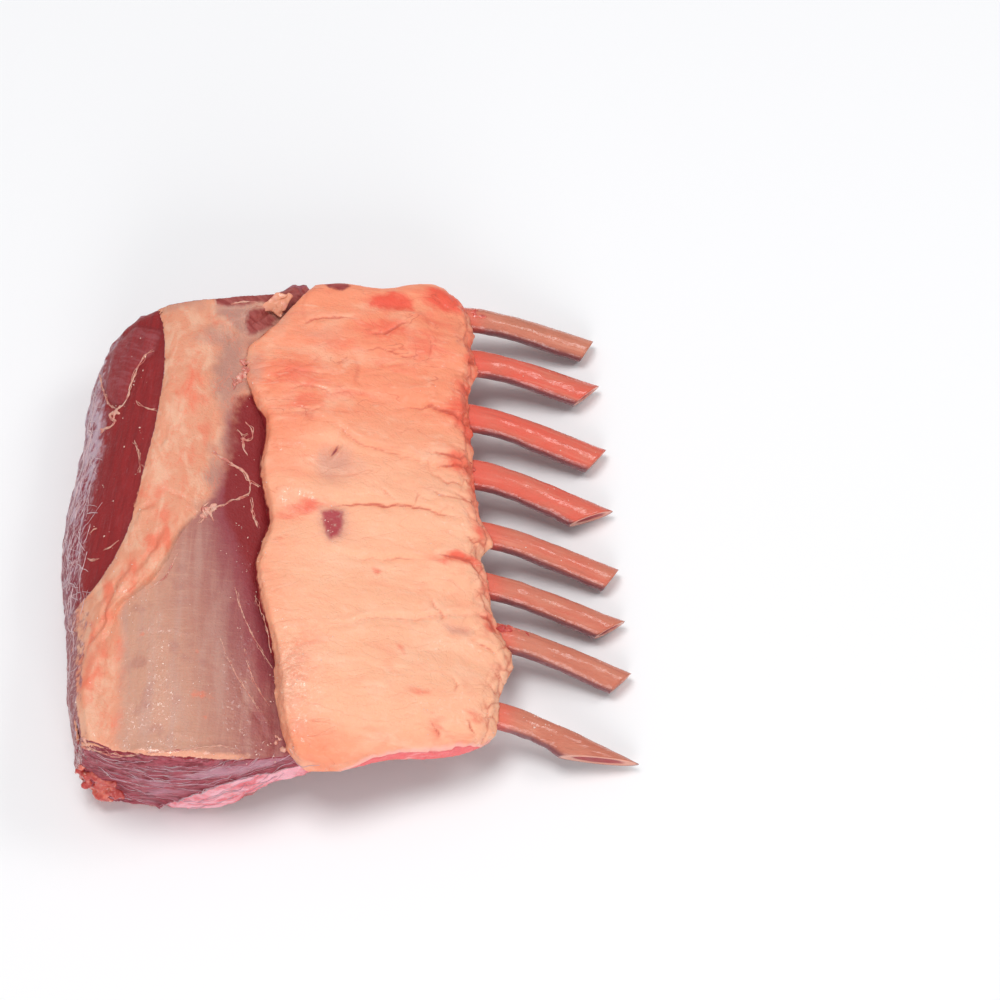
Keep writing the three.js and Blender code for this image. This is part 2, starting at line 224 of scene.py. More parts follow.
def keep_on_skin(skin, **fields):
    """Keeps numbers that vary over a skin, for its material to read by name."""
    for name, values in fields.items():
        kept = skin.attributes.new(name, "FLOAT", "POINT")
        kept.data.foreach_set("value", np.asarray(values, np.float32))


@functools.cache
def lattice(seed):
    return np.random.default_rng(seed).uniform(-1, 1, 3 * (LATTICE,))


def lumps(places, size, seed):
    """Smooth noise from -1 to 1. The size of its lumps in mm is one number, or one along each axis."""
    cell = places / np.asarray(size, float)
    corner = np.floor(cell).astype(int)
    t = cell - corner
    t = t * t * (3 - 2 * t)
    total = np.zeros(len(places))
    for way in itertools.product((0, 1), repeat=3):
        i, j, k = ((corner + way) % LATTICE).T
        total += np.prod(np.where(way, t, 1 - t), axis=1) * lattice(seed)[i, j, k]
    return total


def uneven(places, *waves):
    """Lumps on lumps, each given as its height in mm, its size and its seed."""
    return sum(height * lumps(places, size, seed) for height, size, seed in waves)


def pebbles(places, size, seed):
    """Rounded pebbles side by side: 0 in the cracks between them, rising towards their middles."""
    scatter = np.random.default_rng(seed).uniform(0, 1, (*3 * (PEBBLE_LATTICE,), 3))
    cell = places / np.asarray(size, float)
    corner = np.floor(cell).astype(int)
    first, second = np.full(len(places), FARTHEST), np.full(len(places), FARTHEST)
    for way in itertools.product((-1, 0, 1), repeat=3):
        i, j, k = ((corner + way) % PEBBLE_LATTICE).T
        gap = np.linalg.norm(corner + way + scatter[i, j, k] - cell, axis=1)
        second = np.minimum(second, np.maximum(first, gap))
        first = np.minimum(first, gap)
    return second - first


def ramp(x, low, high):
    """From 0 at low to 1 at high, smoothly."""
    t = np.clip((x - low) / (high - low), 0, 1)
    return t * t * (3 - 2 * t)


def ridge(x, width):
    """1 where x is 0, fading to both sides."""
    return np.exp(-((x / width) ** 2))


def patches(places, spots):
    """A field of uneven patches, each given as u, v, its reach across and along, and its strength."""
    total = np.zeros(len(places))
    x = places[:, 0] + uneven(places, (2.2, 7, 73), (1.0, 3, 74))
    y = places[:, 1] + uneven(places, (2.2, 7, 75), (1.0, 3, 76))
    for u, v, across, along, strength in spots:
        squared = ((x - u) / across) ** 2 + ((y - v) / along) ** 2
        total = np.maximum(total, strength * np.exp(-squared))
    return total


def beside(places, line):
    """How far each place is from a line seen from above, on which side, and what share along it."""
    line = np.array(line, float)
    nearest = np.full(len(places), np.inf)
    side, share = np.zeros(len(places)), np.zeros(len(places))
    for i, (start, end) in enumerate(zip(line[:-1], line[1:])):
        run, out = end - start, places[:, :2] - start
        t = np.clip(out @ run / (run @ run), 0, 1)
        gap = np.hypot(*(out - t[:, None] * run).T)
        closer = gap < nearest
        nearest = np.where(closer, gap, nearest)
        side = np.where(closer, np.sign(run[0] * out[:, 1] - run[1] * out[:, 0]), side)
        share = np.where(closer, (i + t) / (len(line) - 1), share)
    return nearest, side, share


def unsteady(places):
    """The places moved aside a little, so that a straight line drawn by them wanders."""
    aside = [uneven(places, (0.8, 4, seed), (0.3, 1.7, seed + 2)) for seed in (71, 72)]
    return places + np.column_stack([*aside, 0 * places[:, 0]])


def fading(share, end=0.02):
    """A line's strength at each share along it: full in its middle, weak at its ends."""
    return np.sqrt(np.sin(np.pi * np.clip(share, end, 1 - end)))


def folded(places, folds):
    """The relief of narrow folds with a raised lip, each given as its route, depth and width."""
    deep = np.zeros(len(places))
    for route, depth, width in folds:
        gap, side, share = beside(places, route)
        lip = 0.5 * ridge(gap * side - 1.7 * width, 1.5 * width)
        deep += fading(share) * depth * (lip - ridge(gap, width))
    return deep


def inside(places, outline):
    """How far inside an outline seen from above each place is, negative outside it."""
    closed = outline + outline[:1]
    gap, _, _ = beside(places, closed)
    x, y = places[:, 0], places[:, 1]
    within = np.zeros(len(places), bool)
    for (x0, y0), (x1, y1) in zip(closed[:-1], closed[1:]):
        if y0 != y1:
            within ^= ((y0 > y) != (y1 > y)) & (x < x0 + (y - y0) * (x1 - x0) / (y1 - y0))
    return np.where(within, gap, -gap)


def read_off(line, at):
    """The second number of a line's points, read off at each first number."""
    return np.interp(at, *zip(*line))


def reckon(operation):
    return lambda a, b: a.board.node("ShaderNodeMath", {"operation": operation}, {0: a, 1: b})


def reckon_back(operation):
    return lambda a, b: a.board.node("ShaderNodeMath", {"operation": operation}, {0: b, 1: a})


class Wire:
    """What comes out of a node. Arithmetic on it adds Math nodes."""

    def __init__(self, board, socket):
        self.board, self.socket = board, socket

    __add__ = __radd__ = reckon("ADD")
    __mul__ = __rmul__ = reckon("MULTIPLY")
    __sub__, __rsub__ = reckon("SUBTRACT"), reckon_back("SUBTRACT")
    __truediv__, __pow__ = reckon("DIVIDE"), reckon("POWER")

    def also(self, name):
        """Another output of the same node."""
        return Wire(self.board, self.socket.node.outputs[name])


class Board:
    """A tree of nodes, for a finish or for a shape, with one way to add a node."""

    def __init__(self, tree):
        self.tree = tree

    def node(self, kind, settings=None, sockets=None, out=0):
        made = self.tree.nodes.new(kind)
        for name, value in (settings or {}).items():
            setattr(made, name, value)
        for key, value in (sockets or {}).items():
            if isinstance(value, Wire):
                self.tree.links.new(value.socket, made.inputs[key])
            else:
                made.inputs[key].default_value = value
        return Wire(self, made.outputs[out] if made.outputs else None)

    def vector(self, operation, *inputs):
        return self.node("ShaderNodeVectorMath", {"operation": operation}, dict(enumerate(inputs)))

    def scaled(self, vector, by):
        return self.node("ShaderNodeVectorMath", {"operation": "SCALE"}, {0: vector, "Scale": by})


class Finish(Board):
    """A material on the Principled shader, with what muscle, fat and bone all need."""

    def __init__(self, name, **constants):
        self.material = bpy.data.materials.new(name)
        self.material.use_nodes = True
        super().__init__(self.material.node_tree)
        self.shader = self.tree.nodes["Principled BSDF"]
        for socket, value in constants.items():
            self.shader.inputs[socket.replace("_", " ")].default_value = value
        self.place = self.node("ShaderNodeTexCoord", out="Object")

    def feed(self, **wires):
        for socket, wire in wires.items():
            self.tree.links.new(wire.socket, self.shader.inputs[socket.replace("_", " ")])

    def field(self, name):
        """A number kept on the skin."""
        return self.node("ShaderNodeAttribute", {"attribute_name": name}, out="Fac")

    def noise(self, size_mm, detail=2.0, turn=0.0, warp=0.0):
        """Noise from 0 to 1. Its size is one number, or one along each axis after a turn about Z."""
        scale = [1 / (size * MM) for size in np.broadcast_to(size_mm, 3)]
        turned = self.node("ShaderNodeMapping", None, {"Vector": self.place, "Rotation": (0, 0, turn)})
        scaled = self.vector("MULTIPLY", turned, scale)
        return self.node("ShaderNodeTexNoise", None, {
            "Vector": scaled, "Scale": 1.0, "Detail": detail, "Distortion": warp})


def step(value, low, high):
    """From 0 at low to 1 at high, smoothly."""
    return value.board.node("ShaderNodeMapRange", {"interpolation_type": "SMOOTHSTEP"},
                            {"Value": value, "From Min": low, "From Max": high})


def near(value, middle, width):
    """1 where a value is near its middle, 0 past the width."""
    away = value.board.node("ShaderNodeMath", {"operation": "ABSOLUTE"}, {0: value - middle})
    return 1 - step(away, 0.0, width)


def mix(share, first, second):
    """Two colours, mixed by a share from 0 to 1."""
    return share.board.node("ShaderNodeMix", {"data_type": "RGBA", "clamp_factor": True},
                            {0: share, 6: first, 7: second}, out=2)


def coats(colour, *layers):
    """A colour with coats over it, each given as its share from 0 to 1 and its own colour."""
    for share, coat in layers:
        colour = mix(share, colour, coat)
    return colour


def relief(height, depth_mm, below=None):
    """Relief too fine for the mesh, of the given depth, on top of other relief."""
    sockets = {"Height": height, "Distance": depth_mm * MM, "Strength": 1.0}
    if below is not None:
        sockets["Normal"] = below
    return height.board.node("ShaderNodeBump", None, sockets)


def dress(name, skin, finish, slot, *nodes):
    """Makes a piece of a skin, in place of CAD nodes where it has any."""
    if finish:
        skin.materials.append(finish.material)
    skin.polygons.foreach_set("use_smooth", [True] * len(skin.polygons))
    piece = bpy.data.objects.new(name, skin)
    bpy.context.collection.objects.link(piece)
    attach(piece, "root")
    if nodes:
        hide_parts(*nodes)
    return piece


def loin_fields(places, normals):
    """What the finish of the lean and of the fat band needs to know about each place."""
    u, v, z = places.T
    red = np.where(v < RED_FROM_V, -9, np.minimum(read_off(RED_BORDER, v) - u, v - RED_FROM_V))
    shoulder = np.maximum(inside(places, SHOULDER_MUSCLE), v - read_off(FAR_BORDER, u))
    return {
        "red": np.clip(red, -9, 9),
        "banded": np.clip((read_off(BAND_BORDER, v) - u) / read_off(BAND_FADE, v), -3, 3),
        "strip": np.clip((u - read_off(STRIP_BORDER, v)) / read_off(STRIP_FADE, v), -4, 4),
        "net": np.clip(read_off(NET_BORDER, v) - u, -8, 8),
        "silver_tone": np.clip(0.45 + (u - 50) / 40 + (v - 60) / 150, 0, 1),
        "chine_muscle": np.clip(inside(places, CHINE_MUSCLE), -8, 8),
        "shoulder_muscle": np.clip(shoulder, -8, 8),
        "loin_cut": np.clip(-normals[:, 1] - 0.5 * ramp(v, 8, 16), -1, 1),
        "other_cut": np.clip(np.maximum(normals[:, 1], -normals[:, 0]), -1, 1),
        "shoulder_cut": np.clip(normals[:, 1], -1, 1),
        "under": np.clip(-normals[:, 2], -1, 1),
        "below_membrane": np.clip(read_off(MEMBRANE, u) - z, -8, 8),
        "shoulder_share": ramp(v, 40, 140),
        "face_sheen": patches(places[:, [0, 2, 1]], FACE_SHEEN),
        "face_dark": patches(places[:, [0, 2, 1]], FACE_DARK),
        "rim": ridge(v - read_off(LOIN_RIM, u) - 1.4, 2.2) * (1 - ramp(u, 64, 84)),
    }


lean_skin = node_skin("lean_meat", LEAN_FACE_MM)
places, normals = read_skin(lean_skin)
fields = loin_fields(places, normals)
u, v, z = places.T
red_area = ramp(fields["red"], -0.5, 2)
loin_cut = ramp(fields["loin_cut"], 0.4, 0.7)
other_cut = ramp(fields["other_cut"], 0.55, 0.85)
below = ramp(fields["below_membrane"], -1, 1.5)
netted = ramp(fields["net"], -2, 3)
rim = ridge(fields["loin_cut"] - 0.35, 0.2) * (1 - ramp(v, 10, 16))
membrane, chine_muscle = fields["below_membrane"], fields["chine_muscle"]
proud = uneven(places, (0.3, 13, 1), (0.12, 5, 2))
proud += 0.07 * lumps(places, (2.2, 30, 30), 9) + folded(unsteady(places), SILVER_FOLDS)
proud += red_area * (0.12 * lumps(places, (1.7, 15, 5), 3) + 0.45 * ramp(chine_muscle, -1, 5))
proud -= 0.5 * red_area * ridge(chine_muscle + 0.8 * lumps(places, 4, 14), 1.0)
proud += netted * uneven(places, (0.45, (3, 7, 5), 7), (0.35, 2.2, 8))
proud += rim * (0.4 + 0.9 * lumps(places, 4.5, 10) + 0.5 * lumps(places, 2.2, 11)) - 0.7 * loin_cut
proud += loin_cut * uneven(places, (0.7, (12, 6, 2.4), 4), (0.5, (6, 4, 1.5), 5))
streaks = lumps(places + 1.5 * lumps(places, 6, 17)[:, None] * [0, 0, 1], (7, 30, 1.3), 18)
proud += loin_cut * 0.45 * ridge(streaks, 0.25)
proud += loin_cut * (1.0 * ridge(membrane, 0.9) - 1.3 * ridge(membrane - 2.4, 1.7)
                     + 0.8 * below * lumps(places, (8, 5, 3), 6))
proud += other_cut * (1 - netted) * uneven(places, (0.7, (4, 12, 3), 12), (0.4, 3, 13))
end_top = ramp(normals[:, 1] + normals[:, 2], 0.4, 1.0)
proud += TORN_UP_MM * end_top * patches(places, TORN_UP) * (1 + 0.5 * lumps(places, (3, 4, 3), 16))
reshape_skin(lean_skin, places + normals * proud[:, None])
keep_on_skin(lean_skin, **fields)

RED_MUSCLE = srgb(150, 28, 30)
DARK_RED = srgb(124, 20, 24)
CHINE_RED = srgb(150, 56, 60)
CHINE_SINEW_AND_SHEEN = srgb(164, 86, 92)
STRIP_RED = srgb(138, 30, 34)
LENS_RED = srgb(170, 78, 74)
SILVERSKIN = srgb(206, 150, 126)
SILVER_GREY = srgb(160, 92, 90)
SILVER_MIST = srgb(196, 150, 136)
SILVER_LIGHT = srgb(226, 174, 148)
PURPLE = srgb(148, 58, 68)
# The pale lilac of the membrane net, also used as painted sheen on it.
NET_LILAC_AND_SHEEN = srgb(198, 170, 184)
NET_RED = srgb(140, 48, 64)
FIBRE_PALE = srgb(228, 194, 196)
CUT_MAROON = srgb(168, 70, 84)
CUT_DARK = srgb(118, 24, 38)
CUT_LILAC = srgb(204, 150, 166)
CUT_PINK = srgb(255, 186, 198)
CUT_SALMON = srgb(240, 126, 136)
CUT_RIM_RED = srgb(140, 14, 30)
UNDER_PINK = srgb(206, 126, 122)
BAND_CREAM = srgb(232, 156, 124)
BAND_PALE = srgb(240, 186, 156)
BAND_CORAL_FAT = srgb(238, 122, 92)
BAND_GREY_FAT = srgb(186, 134, 120)
RIM_PEACH = srgb(240, 168, 138)


def loin_finish(name):
    """Muscle, silverskin and the fat of the band, as the fields of each place say."""
    finish = Finish(name, Subsurface_Weight=0.12, Subsurface_Radius=(1.0, 0.35, 0.25), Subsurface_Scale=0.003,
                    Coat_Roughness=0.14, Specular_IOR_Level=0.4)
    noise, field = finish.noise, finish.field
    ragged = noise(2.4, 4) - 0.5
    tufts = noise((1.0, 5, 3), 3) - 0.5
    cloudy, fine = noise(9, 3), noise(0.8, 3)
    fibres = noise((1.2, 14, 5), 3, turn=0.12)

    sinews = near(noise((1.6, 26, 12), 3, turn=0.14), 0.5, 0.02)
    chine = field("chine_muscle") + ragged
    arcs = step(noise((12, 1.6, 3), 3, turn=0.5, warp=0.4), 0.42, 0.68)
    muscle = coats(
        RED_MUSCLE,
        (step(fibres, 0.35, 0.75) * 0.7, DARK_RED),
        (step(noise(16, 2), 0.5, 0.8) * 0.4, CHINE_RED),
        # Pale sinews, then a painted lilac sheen in arcs over the chine muscle.
        (sinews * step(cloudy, 0.4, 0.7) * 0.4, CHINE_SINEW_AND_SHEEN),
        (step(chine, -1.5, 2.5) * (0.15 + 0.4 * arcs), CHINE_SINEW_AND_SHEEN),
        (near(chine, 0.2, 1.0) * 0.5, DARK_RED))

    weave = noise((11, 0.9, 3), 4, turn=-0.06, warp=0.9)
    strip = field("strip") + ragged * 1.1 + tufts * 0.25
    silver = coats(
        SILVERSKIN,
        (step(field("silver_tone") + (cloudy - 0.5) * 0.5, 0.0, 1.0), SILVER_GREY),
        (step(noise((5, 40, 40), 3, warp=0.2), 0.42, 0.66) * 0.5, SILVER_MIST),
        (step(noise((1.3, 34, 12), 3, turn=0.05), 0.5, 0.8) * 0.18, SILVER_LIGHT),
        (step(weave, 0.5, 0.75) * 0.2, SILVER_LIGHT),
        (step(cloudy, 0.48, 0.3) * 0.35, SILVER_GREY),
        (step(field("stain") + ragged * 1.2, 0.25, 0.8) * 0.55, BAND_CORAL_FAT),
        (step(strip, -2.4, 0.2) * 0.9, PURPLE),
        (step(strip, -0.2, 1.0), STRIP_RED),
        (step(cloudy, 0.5, 0.8) * step(strip, 0.0, 1.0) * 0.6, CHINE_RED))

    flowing = noise((6, 13, 8), 4, warp=0.9)
    fat = coats(
        BAND_CREAM,
        (step(noise((7, 13, 8), 4, warp=0.8), 0.44, 0.64) * 0.7, BAND_PALE),
        (step(field("coral") + (flowing - 0.5) * 1.9 + ragged * 0.3, 0.25, 1.05) * 0.9, BAND_CORAL_FAT),
        (step(field("grey") + (cloudy - 0.5) * 0.6 + ragged * 0.3, 0.15, 1.0) * 0.9, BAND_GREY_FAT),
        (near(noise((7, 12, 7), 4, warp=1.0), 0.5, 0.02) * 0.35, BAND_CORAL_FAT))

    shoulder = field("shoulder_muscle") + ragged * 2.4
    lens = mix(step(noise((9, 2.5, 4), 3, turn=0.5, warp=0.5), 0.35, 0.65), LENS_RED, STRIP_RED)

    threads = near(noise((1.6, 9, 9), 2, turn=0.3), 0.5, 0.035)
    crossing = near(noise((9, 2.0, 6), 2, turn=-0.5), 0.5, 0.03)
    mesh = noise((2.2, 6, 3), 4, turn=0.35, warp=0.6)
    # Painted sheen and membrane colour: more lilac towards the shoulder end and where the side faces out.
    toned = mesh + (cloudy - 0.5) * 0.4 + (field("shoulder_share") - 0.6) * 0.4
    toned = toned + (field("other_cut") - 0.85) * 0.35
    netted = threads + crossing
    net = coats(NET_RED, (step(toned, 0.45, 0.66), NET_LILAC_AND_SHEEN), (netted * 0.65, FIBRE_PALE))

    lay = noise((6, 3, 0.8), 5, warp=0.7)
    # Painted sheen: lilac on the cut ends in the face_sheen patches, where the pale hairs also show more.
    sheen = field("face_sheen") * 0.35 + noise((15, 8, 5), 3)
    hairs = step(noise((3, 2, 0.5), 4, warp=0.5), 0.56, 0.7)
    shoulder_flesh = coats(
        CUT_MAROON,
        (step(lay, 0.42, 0.64), CUT_DARK),
        (step(sheen, 0.56, 0.88) * 0.65, CUT_LILAC),
        (step(field("face_dark") + (lay - 0.5) * 2, 0.4, 0.9) * 0.8, CUT_DARK),
        (hairs * (0.06 + field("face_sheen") * 0.35), FIBRE_PALE))
    under_membrane = field("below_membrane") + ragged
    pink = coats(
        CUT_PINK,
        (step(noise((7, 5, 3), 3), 0.42, 0.62), CUT_SALMON),
        (near(lay, 0.5, 0.03) * 0.5, FIBRE_PALE))
    cut = field("loin_cut") + ragged * 0.25 + tufts * 0.15
    loin_flesh = coats(
        shoulder_flesh,
        (step(under_membrane, 0.2, 1.2), pink),
        (near(under_membrane, 0.0, 0.7) * 0.8, FIBRE_PALE),
        (near(cut, 0.56, 0.1), CUT_RIM_RED))

    # Painted sheen here too: more lilac towards the shoulder end.
    patchy = (mesh - 0.5) * 1.3 + (cloudy - 0.5) * 0.6 + (field("shoulder_share") - 0.8) * 0.25
    side_flesh = coats(NET_RED, (step(patchy, -0.08, 0.16), NET_LILAC_AND_SHEEN), (netted * 0.5, FIBRE_PALE))
    underside = mix(step(cloudy, 0.4, 0.7), UNDER_PINK, CUT_MAROON)

    rimmed = step(field("rim") + ragged * 0.8, 0.35, 0.9)
    finish.feed(
        Base_Color=coats(
            silver,
            (step(field("banded") + ragged * 0.9 + (cloudy - 0.5) * 0.6, -0.7, 0.8), fat),
            (rimmed * 0.85, RIM_PEACH),
            (step(field("red") + ragged * 2.2 + tufts, -0.15, 0.35), muscle),
            (step(shoulder, -4.0, 0.5) * 0.6, SILVER_MIST),
            (near(shoulder, -1.2, 0.5) * 0.25, SILVER_LIGHT),
            (step(shoulder, -0.9, 1.6) * 0.9, lens),
            (step(field("net") + ragged * 6 + tufts * 5, -1.5, 3.5) * 0.9, net),
            (step(cut, 0.46, 0.5), loin_flesh),
            (step(field("other_cut") + ragged * 0.4, 0.7, 0.85) * 0.9, side_flesh),
            (step(field("shoulder_cut") + ragged * 0.5 + tufts * 0.2, 0.5, 0.62), shoulder_flesh),
            (step(field("under") + ragged * 0.3, 0.3, 0.6), underside)),
        Roughness=0.42 + 0.3 * noise(1.5, 3),
        Coat_Weight=0.06 + (rimmed * 0.3 + 0.7) * step(noise(1.1, 4) + rimmed * 0.14, 0.58, 0.68),
        Normal=relief(fibres * 0.4 + weave * 0.3 + fine, 0.26, relief(noise(2.0, 4), 0.2)))
    return finish


BAND_CORAL = [(46, 150, 7, 12, 0.9), (22, 66, 4, 7, 0.9), (36, 101, 8, 7, 0.8), (41, 94, 7, 8, 0.7),
              (38, 82, 5, 9, 0.9), (28, 72, 5, 8, 0.9), (21, 58, 4, 12, 0.8), (17, 34, 6, 16, 0.9),
              (52, 128, 4, 10, 0.6), (46, 118, 5, 9, 0.5), (56, 179, 9, 3, 0.5), (15, 50, 4, 10, 0.6),
              (25, 15, 6, 9, 0.6), (32, 62, 4, 3, 0.7), (26, 40, 4, 10, 0.5)]
BAND_GREY = [(60, 160, 7, 22, 1.1), (61, 132, 4, 20, 0.9), (57, 112, 5, 12, 0.9), (56, 174, 10, 6, 0.8),
             (32, 134, 3.5, 9, 0.6), (60, 97, 8, 7, 1.0), (42, 190, 14, 6, 0.6), (31, 118, 3, 8, 0.4),
             (62, 186, 10, 8, 1.2), (70, 165, 8, 14, 1.2)]

keep_on_skin(lean_skin, coral=patches(places, BAND_CORAL), grey=patches(places, BAND_GREY),
             stain=patches(places, SILVER_STAINS))
loin_surface = loin_finish("muscle_and_silverskin")
lean = dress("lean_meat_skin", lean_skin, loin_surface, "lean", "lean_meat")

# ---- Fat band ---------------------------------------------------------------------------------
# The fat left along the back, from the shoulder end to the chine corner of the loin end. It is a few
# millimetres thick and grey where the muscle shows through, and its flap ends over the eye of the loin.

BAND_FACE_MM = 0.5
THINNING = [(0, 10), (45, 9), (54, 5), (58, 2), (78, 2), (86, 4), (98, 8), (113, 15), (150, 16), (170, 13),
            (184, 7), (190, 3), (196, 1)]  # over which width its edge at the cap thins out, as (v, mm)
THIN_EDGE_MM = 0.7  # how far the thinned edge sinks into the lean
BAND_FOLDS = [  # route, depth and width in mm
    ([(51, 93), (47, 88), (43, 81), (40, 75), (36, 69)], 0.9, 1.1),
    ([(39, 87), (37, 82), (34, 76), (30, 70)], 0.8, 1.2),
    ([(28, 73), (24, 67), (20, 57), (18, 49), (15, 45)], 0.9, 1.0),
    ([(33, 69), (29, 63), (24, 56), (20, 51), (15, 46)], 0.5, 1.0),
    ([(24, 60), (20, 54), (14, 44), (12, 36), (12, 26)], 0.6, 0.9),
    ([(38, 132), (38, 126), (36, 122)], 0.6, 0.9),
    ([(40, 129), (44, 135), (47, 139)], 0.4, 0.9),
    ([(57, 177), (60, 174), (62, 177), (67, 180)], 0.7, 0.8),
    ([(36, 99), (33, 97), (30, 96), (29, 92)], 0.6, 1.1),
    ([(52, 163), (49, 155), (51, 147), (56, 141)], 0.35, 1.2),
    ([(40, 104), (45, 102), (50, 99)], 0.4, 0.9),
]


lean_tree = BVHTree.FromObject(lean, bpy.context.evaluated_depsgraph_get())


def lean_height(u, v):
    """The height in mm of the lean's top at u and v, 0 beside it."""
    start = Vector((U_START + u * MM, V_START + v * MM, 0.1))
    hit = lean_tree.ray_cast(start, Vector((0, 0, -1)))[0]
    return hit.z / MM if hit else 0.0


band_skin = node_skin("back_fat_band", BAND_FACE_MM, 6)
places, normals = read_skin(band_skin)
fields = loin_fields(places, normals)
u, v, z = places.T
fields["red"][:] = -9
fields["net"][:] = np.minimum(fields["net"], -1)
top = ramp(normals[:, 2], 0.0, 0.4)
proud = uneven(places, (0.35, 10, 11), (0.15, 4, 12), (0.06, 1.8, 15))
proud += 0.45 * (1 - top) * lumps(places, 2.5, 13) + folded(unsteady(places), BAND_FOLDS)
places = places + normals * (proud * ramp(normals[:, 2], -0.4, 0.1))[:, None]
floor = np.array([lean_height(*place[:2]) for place in places]) - THIN_EDGE_MM
row = np.round(v - v.min()).astype(int)
reach = np.zeros(row.max() + 1)
np.maximum.at(reach, row, u)
reach = np.convolve(np.pad(reach, 2, "edge"), np.full(5, 0.2), "valid")
from_edge = np.interp(v - v.min(), range(len(reach)), reach) - u - 1.2
from_edge = from_edge - 0.9 * lumps(places, 5, 14) - 0.5 * lumps(places, 2, 16)
thinned = (1 - np.clip(from_edge / read_off(THINNING, v), 0, 1)) ** 1.4
places[:, 2] -= thinned * np.maximum(places[:, 2] - floor, 0)
reshape_skin(band_skin, places)
keep_on_skin(band_skin, **fields, coral=patches(places, BAND_CORAL), grey=patches(places, BAND_GREY))
band = dress("fat_band_skin", band_skin, loin_surface, "fat", "back_fat_band")

# ---- Fat cap ----------------------------------------------------------------------------------
# The fat over the ribs, with its skin pulled off: soft, creased where it sinks between the ribs, and
# pushed back into a lumpy edge where the bones were scraped. Flesh shows through where it is thin, and
# the wall of its edge over the loin is painted dark red, partly as painted shade of the gap beside it.

CAP_FACE_MM = 0.78
CAP_RIB_EDGE = [(0, 158), (17, 160.5), (40, 163.5), (49, 168), (58, 164), (67, 160), (84, 157.5), (90, 155),
                (98, 160), (107, 155), (140, 151.5), (163, 150.5), (172, 154), (184, 151), (190, 152.5),
                (204, 148)]  # where its free edge lies, as (v, u)
CAP_BACK_EDGE = [(0, 92), (5, 87), (20, 82.5), (42, 80), (60, 75), (77, 72), (96, 76), (118, 72), (138, 73.5),
                 (155, 65.5), (170, 64.5), (182, 74), (204, 90)]  # its edge over the loin, as (v, u)
# Its cut end is pink flesh under this height, as (u, z), and before this line, as (u, v).
PINK_TOP = [(98, 24), (106, 29), (116, 32), (128, 31), (140, 28.5), (148, 27), (152, 24), (156, 18)]
PINK_WALL = [(104, 5), (113, 7), (122, 10), (136, 13), (147, 15.5), (154, 19)]
# Painted shade and flesh: below this depth, the wall of its edge over the loin is painted dark red.
FAT_ON_THE_WALL_MM = 3.2  # how thick the fat is where its edge over the loin shows
CREASES = [  # route over the cap, depth and width in mm
    ([(94, 138), (101, 136), (108, 130), (115, 128), (124, 126), (135, 124), (150, 126)], 0.9, 1.2),
    ([(97, 101), (103, 101), (108, 103), (114, 103), (120, 103.5), (132, 104), (143, 102), (151, 101)],
     0.9, 0.9),
    ([(115, 112), (121, 108), (125, 105)], 0.4, 0.8),
    ([(121, 146), (128, 148), (135, 149), (141, 148), (147, 149), (151, 150)], 0.8, 1.0),
    ([(135, 157), (137, 153), (135, 150)], 0.5, 0.8),
    ([(124, 149), (126, 153), (132, 155)], 0.4, 0.8),
    ([(84, 180), (91, 184), (99, 185), (108, 186)], 0.5, 0.9),
    ([(112, 179), (119, 180), (124, 185), (128, 187)], 0.6, 0.9),
    ([(103, 82), (111, 81), (120, 81), (126, 83), (135, 82), (140, 85)], 0.8, 1.1),
    ([(139, 85), (145, 86), (152, 85), (158, 80)], 1.2, 1.2),
    ([(98, 49), (102, 51), (109, 53), (115, 56), (123, 57), (132, 58), (141, 61), (152, 63), (157, 65)],
     0.8, 1.1),
    ([(137, 68), (139, 64), (142, 61), (141, 58)], 0.7, 0.8),
    ([(144, 37), (147, 33), (145, 29)], 0.6, 0.8),
    ([(136, 132), (137, 127), (136, 125)], 0.5, 0.8),
    ([(135, 181), (136, 176), (135, 170)], 0.4, 0.7),
    ([(75, 172), (77, 169), (80, 163)], 0.4, 0.8),
    ([(136.5, 18), (139, 14.5), (141.5, 11)], 0.35, 1.0),
    ([(149.5, 21), (151.5, 17.5), (153.5, 14)], 0.35, 1.0),
    ([(102.5, 128), (101, 125), (98.5, 121.5)], 1.6, 0.9),
    ([(76, 158), (84, 160), (93, 158), (104, 160)], 0.35, 0.9),
    ([(80, 150), (88, 153), (99, 150), (110, 152)], 0.35, 0.9),
    ([(84, 144), (92, 141), (98, 144)], 0.35, 0.8),
    ([(106, 170), (116, 173), (126, 170), (134, 172)], 0.4, 0.9),
    ([(112, 160), (122, 163), (132, 160), (142, 163)], 0.35, 0.9),
    ([(136, 120), (143, 117), (151, 119)], 0.5, 0.8),
    ([(134, 112), (142, 110), (152, 112)], 0.5, 0.8),
    ([(138, 78), (145, 75), (154, 72)], 0.4, 0.8),
    ([(100, 36), (112, 38), (124, 35), (134, 38)], 0.3, 0.9),
    ([(106, 27), (117, 29), (127, 26)], 0.3, 0.8),
    ([(84, 36), (88, 42), (94, 45)], 0.35, 0.7),
    ([(86, 24), (90, 32), (96, 35)], 0.35, 0.7),
    ([(134, 150), (139, 149), (144, 148), (149, 146), (153, 148)], 1.0, 1.1),
    ([(136, 129), (142, 129.5), (147, 129), (152, 133)], 0.9, 1.0),
    ([(138, 123), (145, 125.5), (152, 127)], 0.9, 1.0),
    ([(144, 113.5), (150, 111.5), (154, 109.5)], 0.8, 1.0),
    ([(154, 65), (159, 63), (163, 59)], 1.0, 1.1),
    ([(151, 52.5), (157, 51), (161, 48)], 0.8, 1.0),
    ([(150, 173), (153, 176), (155, 179)], 0.9, 1.0),
    ([(147, 163), (151, 161), (154, 162)], 0.8, 1.0),
    ([(148, 96), (153, 94), (157, 95)], 0.8, 1.0),
]
SLIT = 18  # which of them is the dark slit
CRINKLED = [(88, 32, 8, 22, 1.0)]
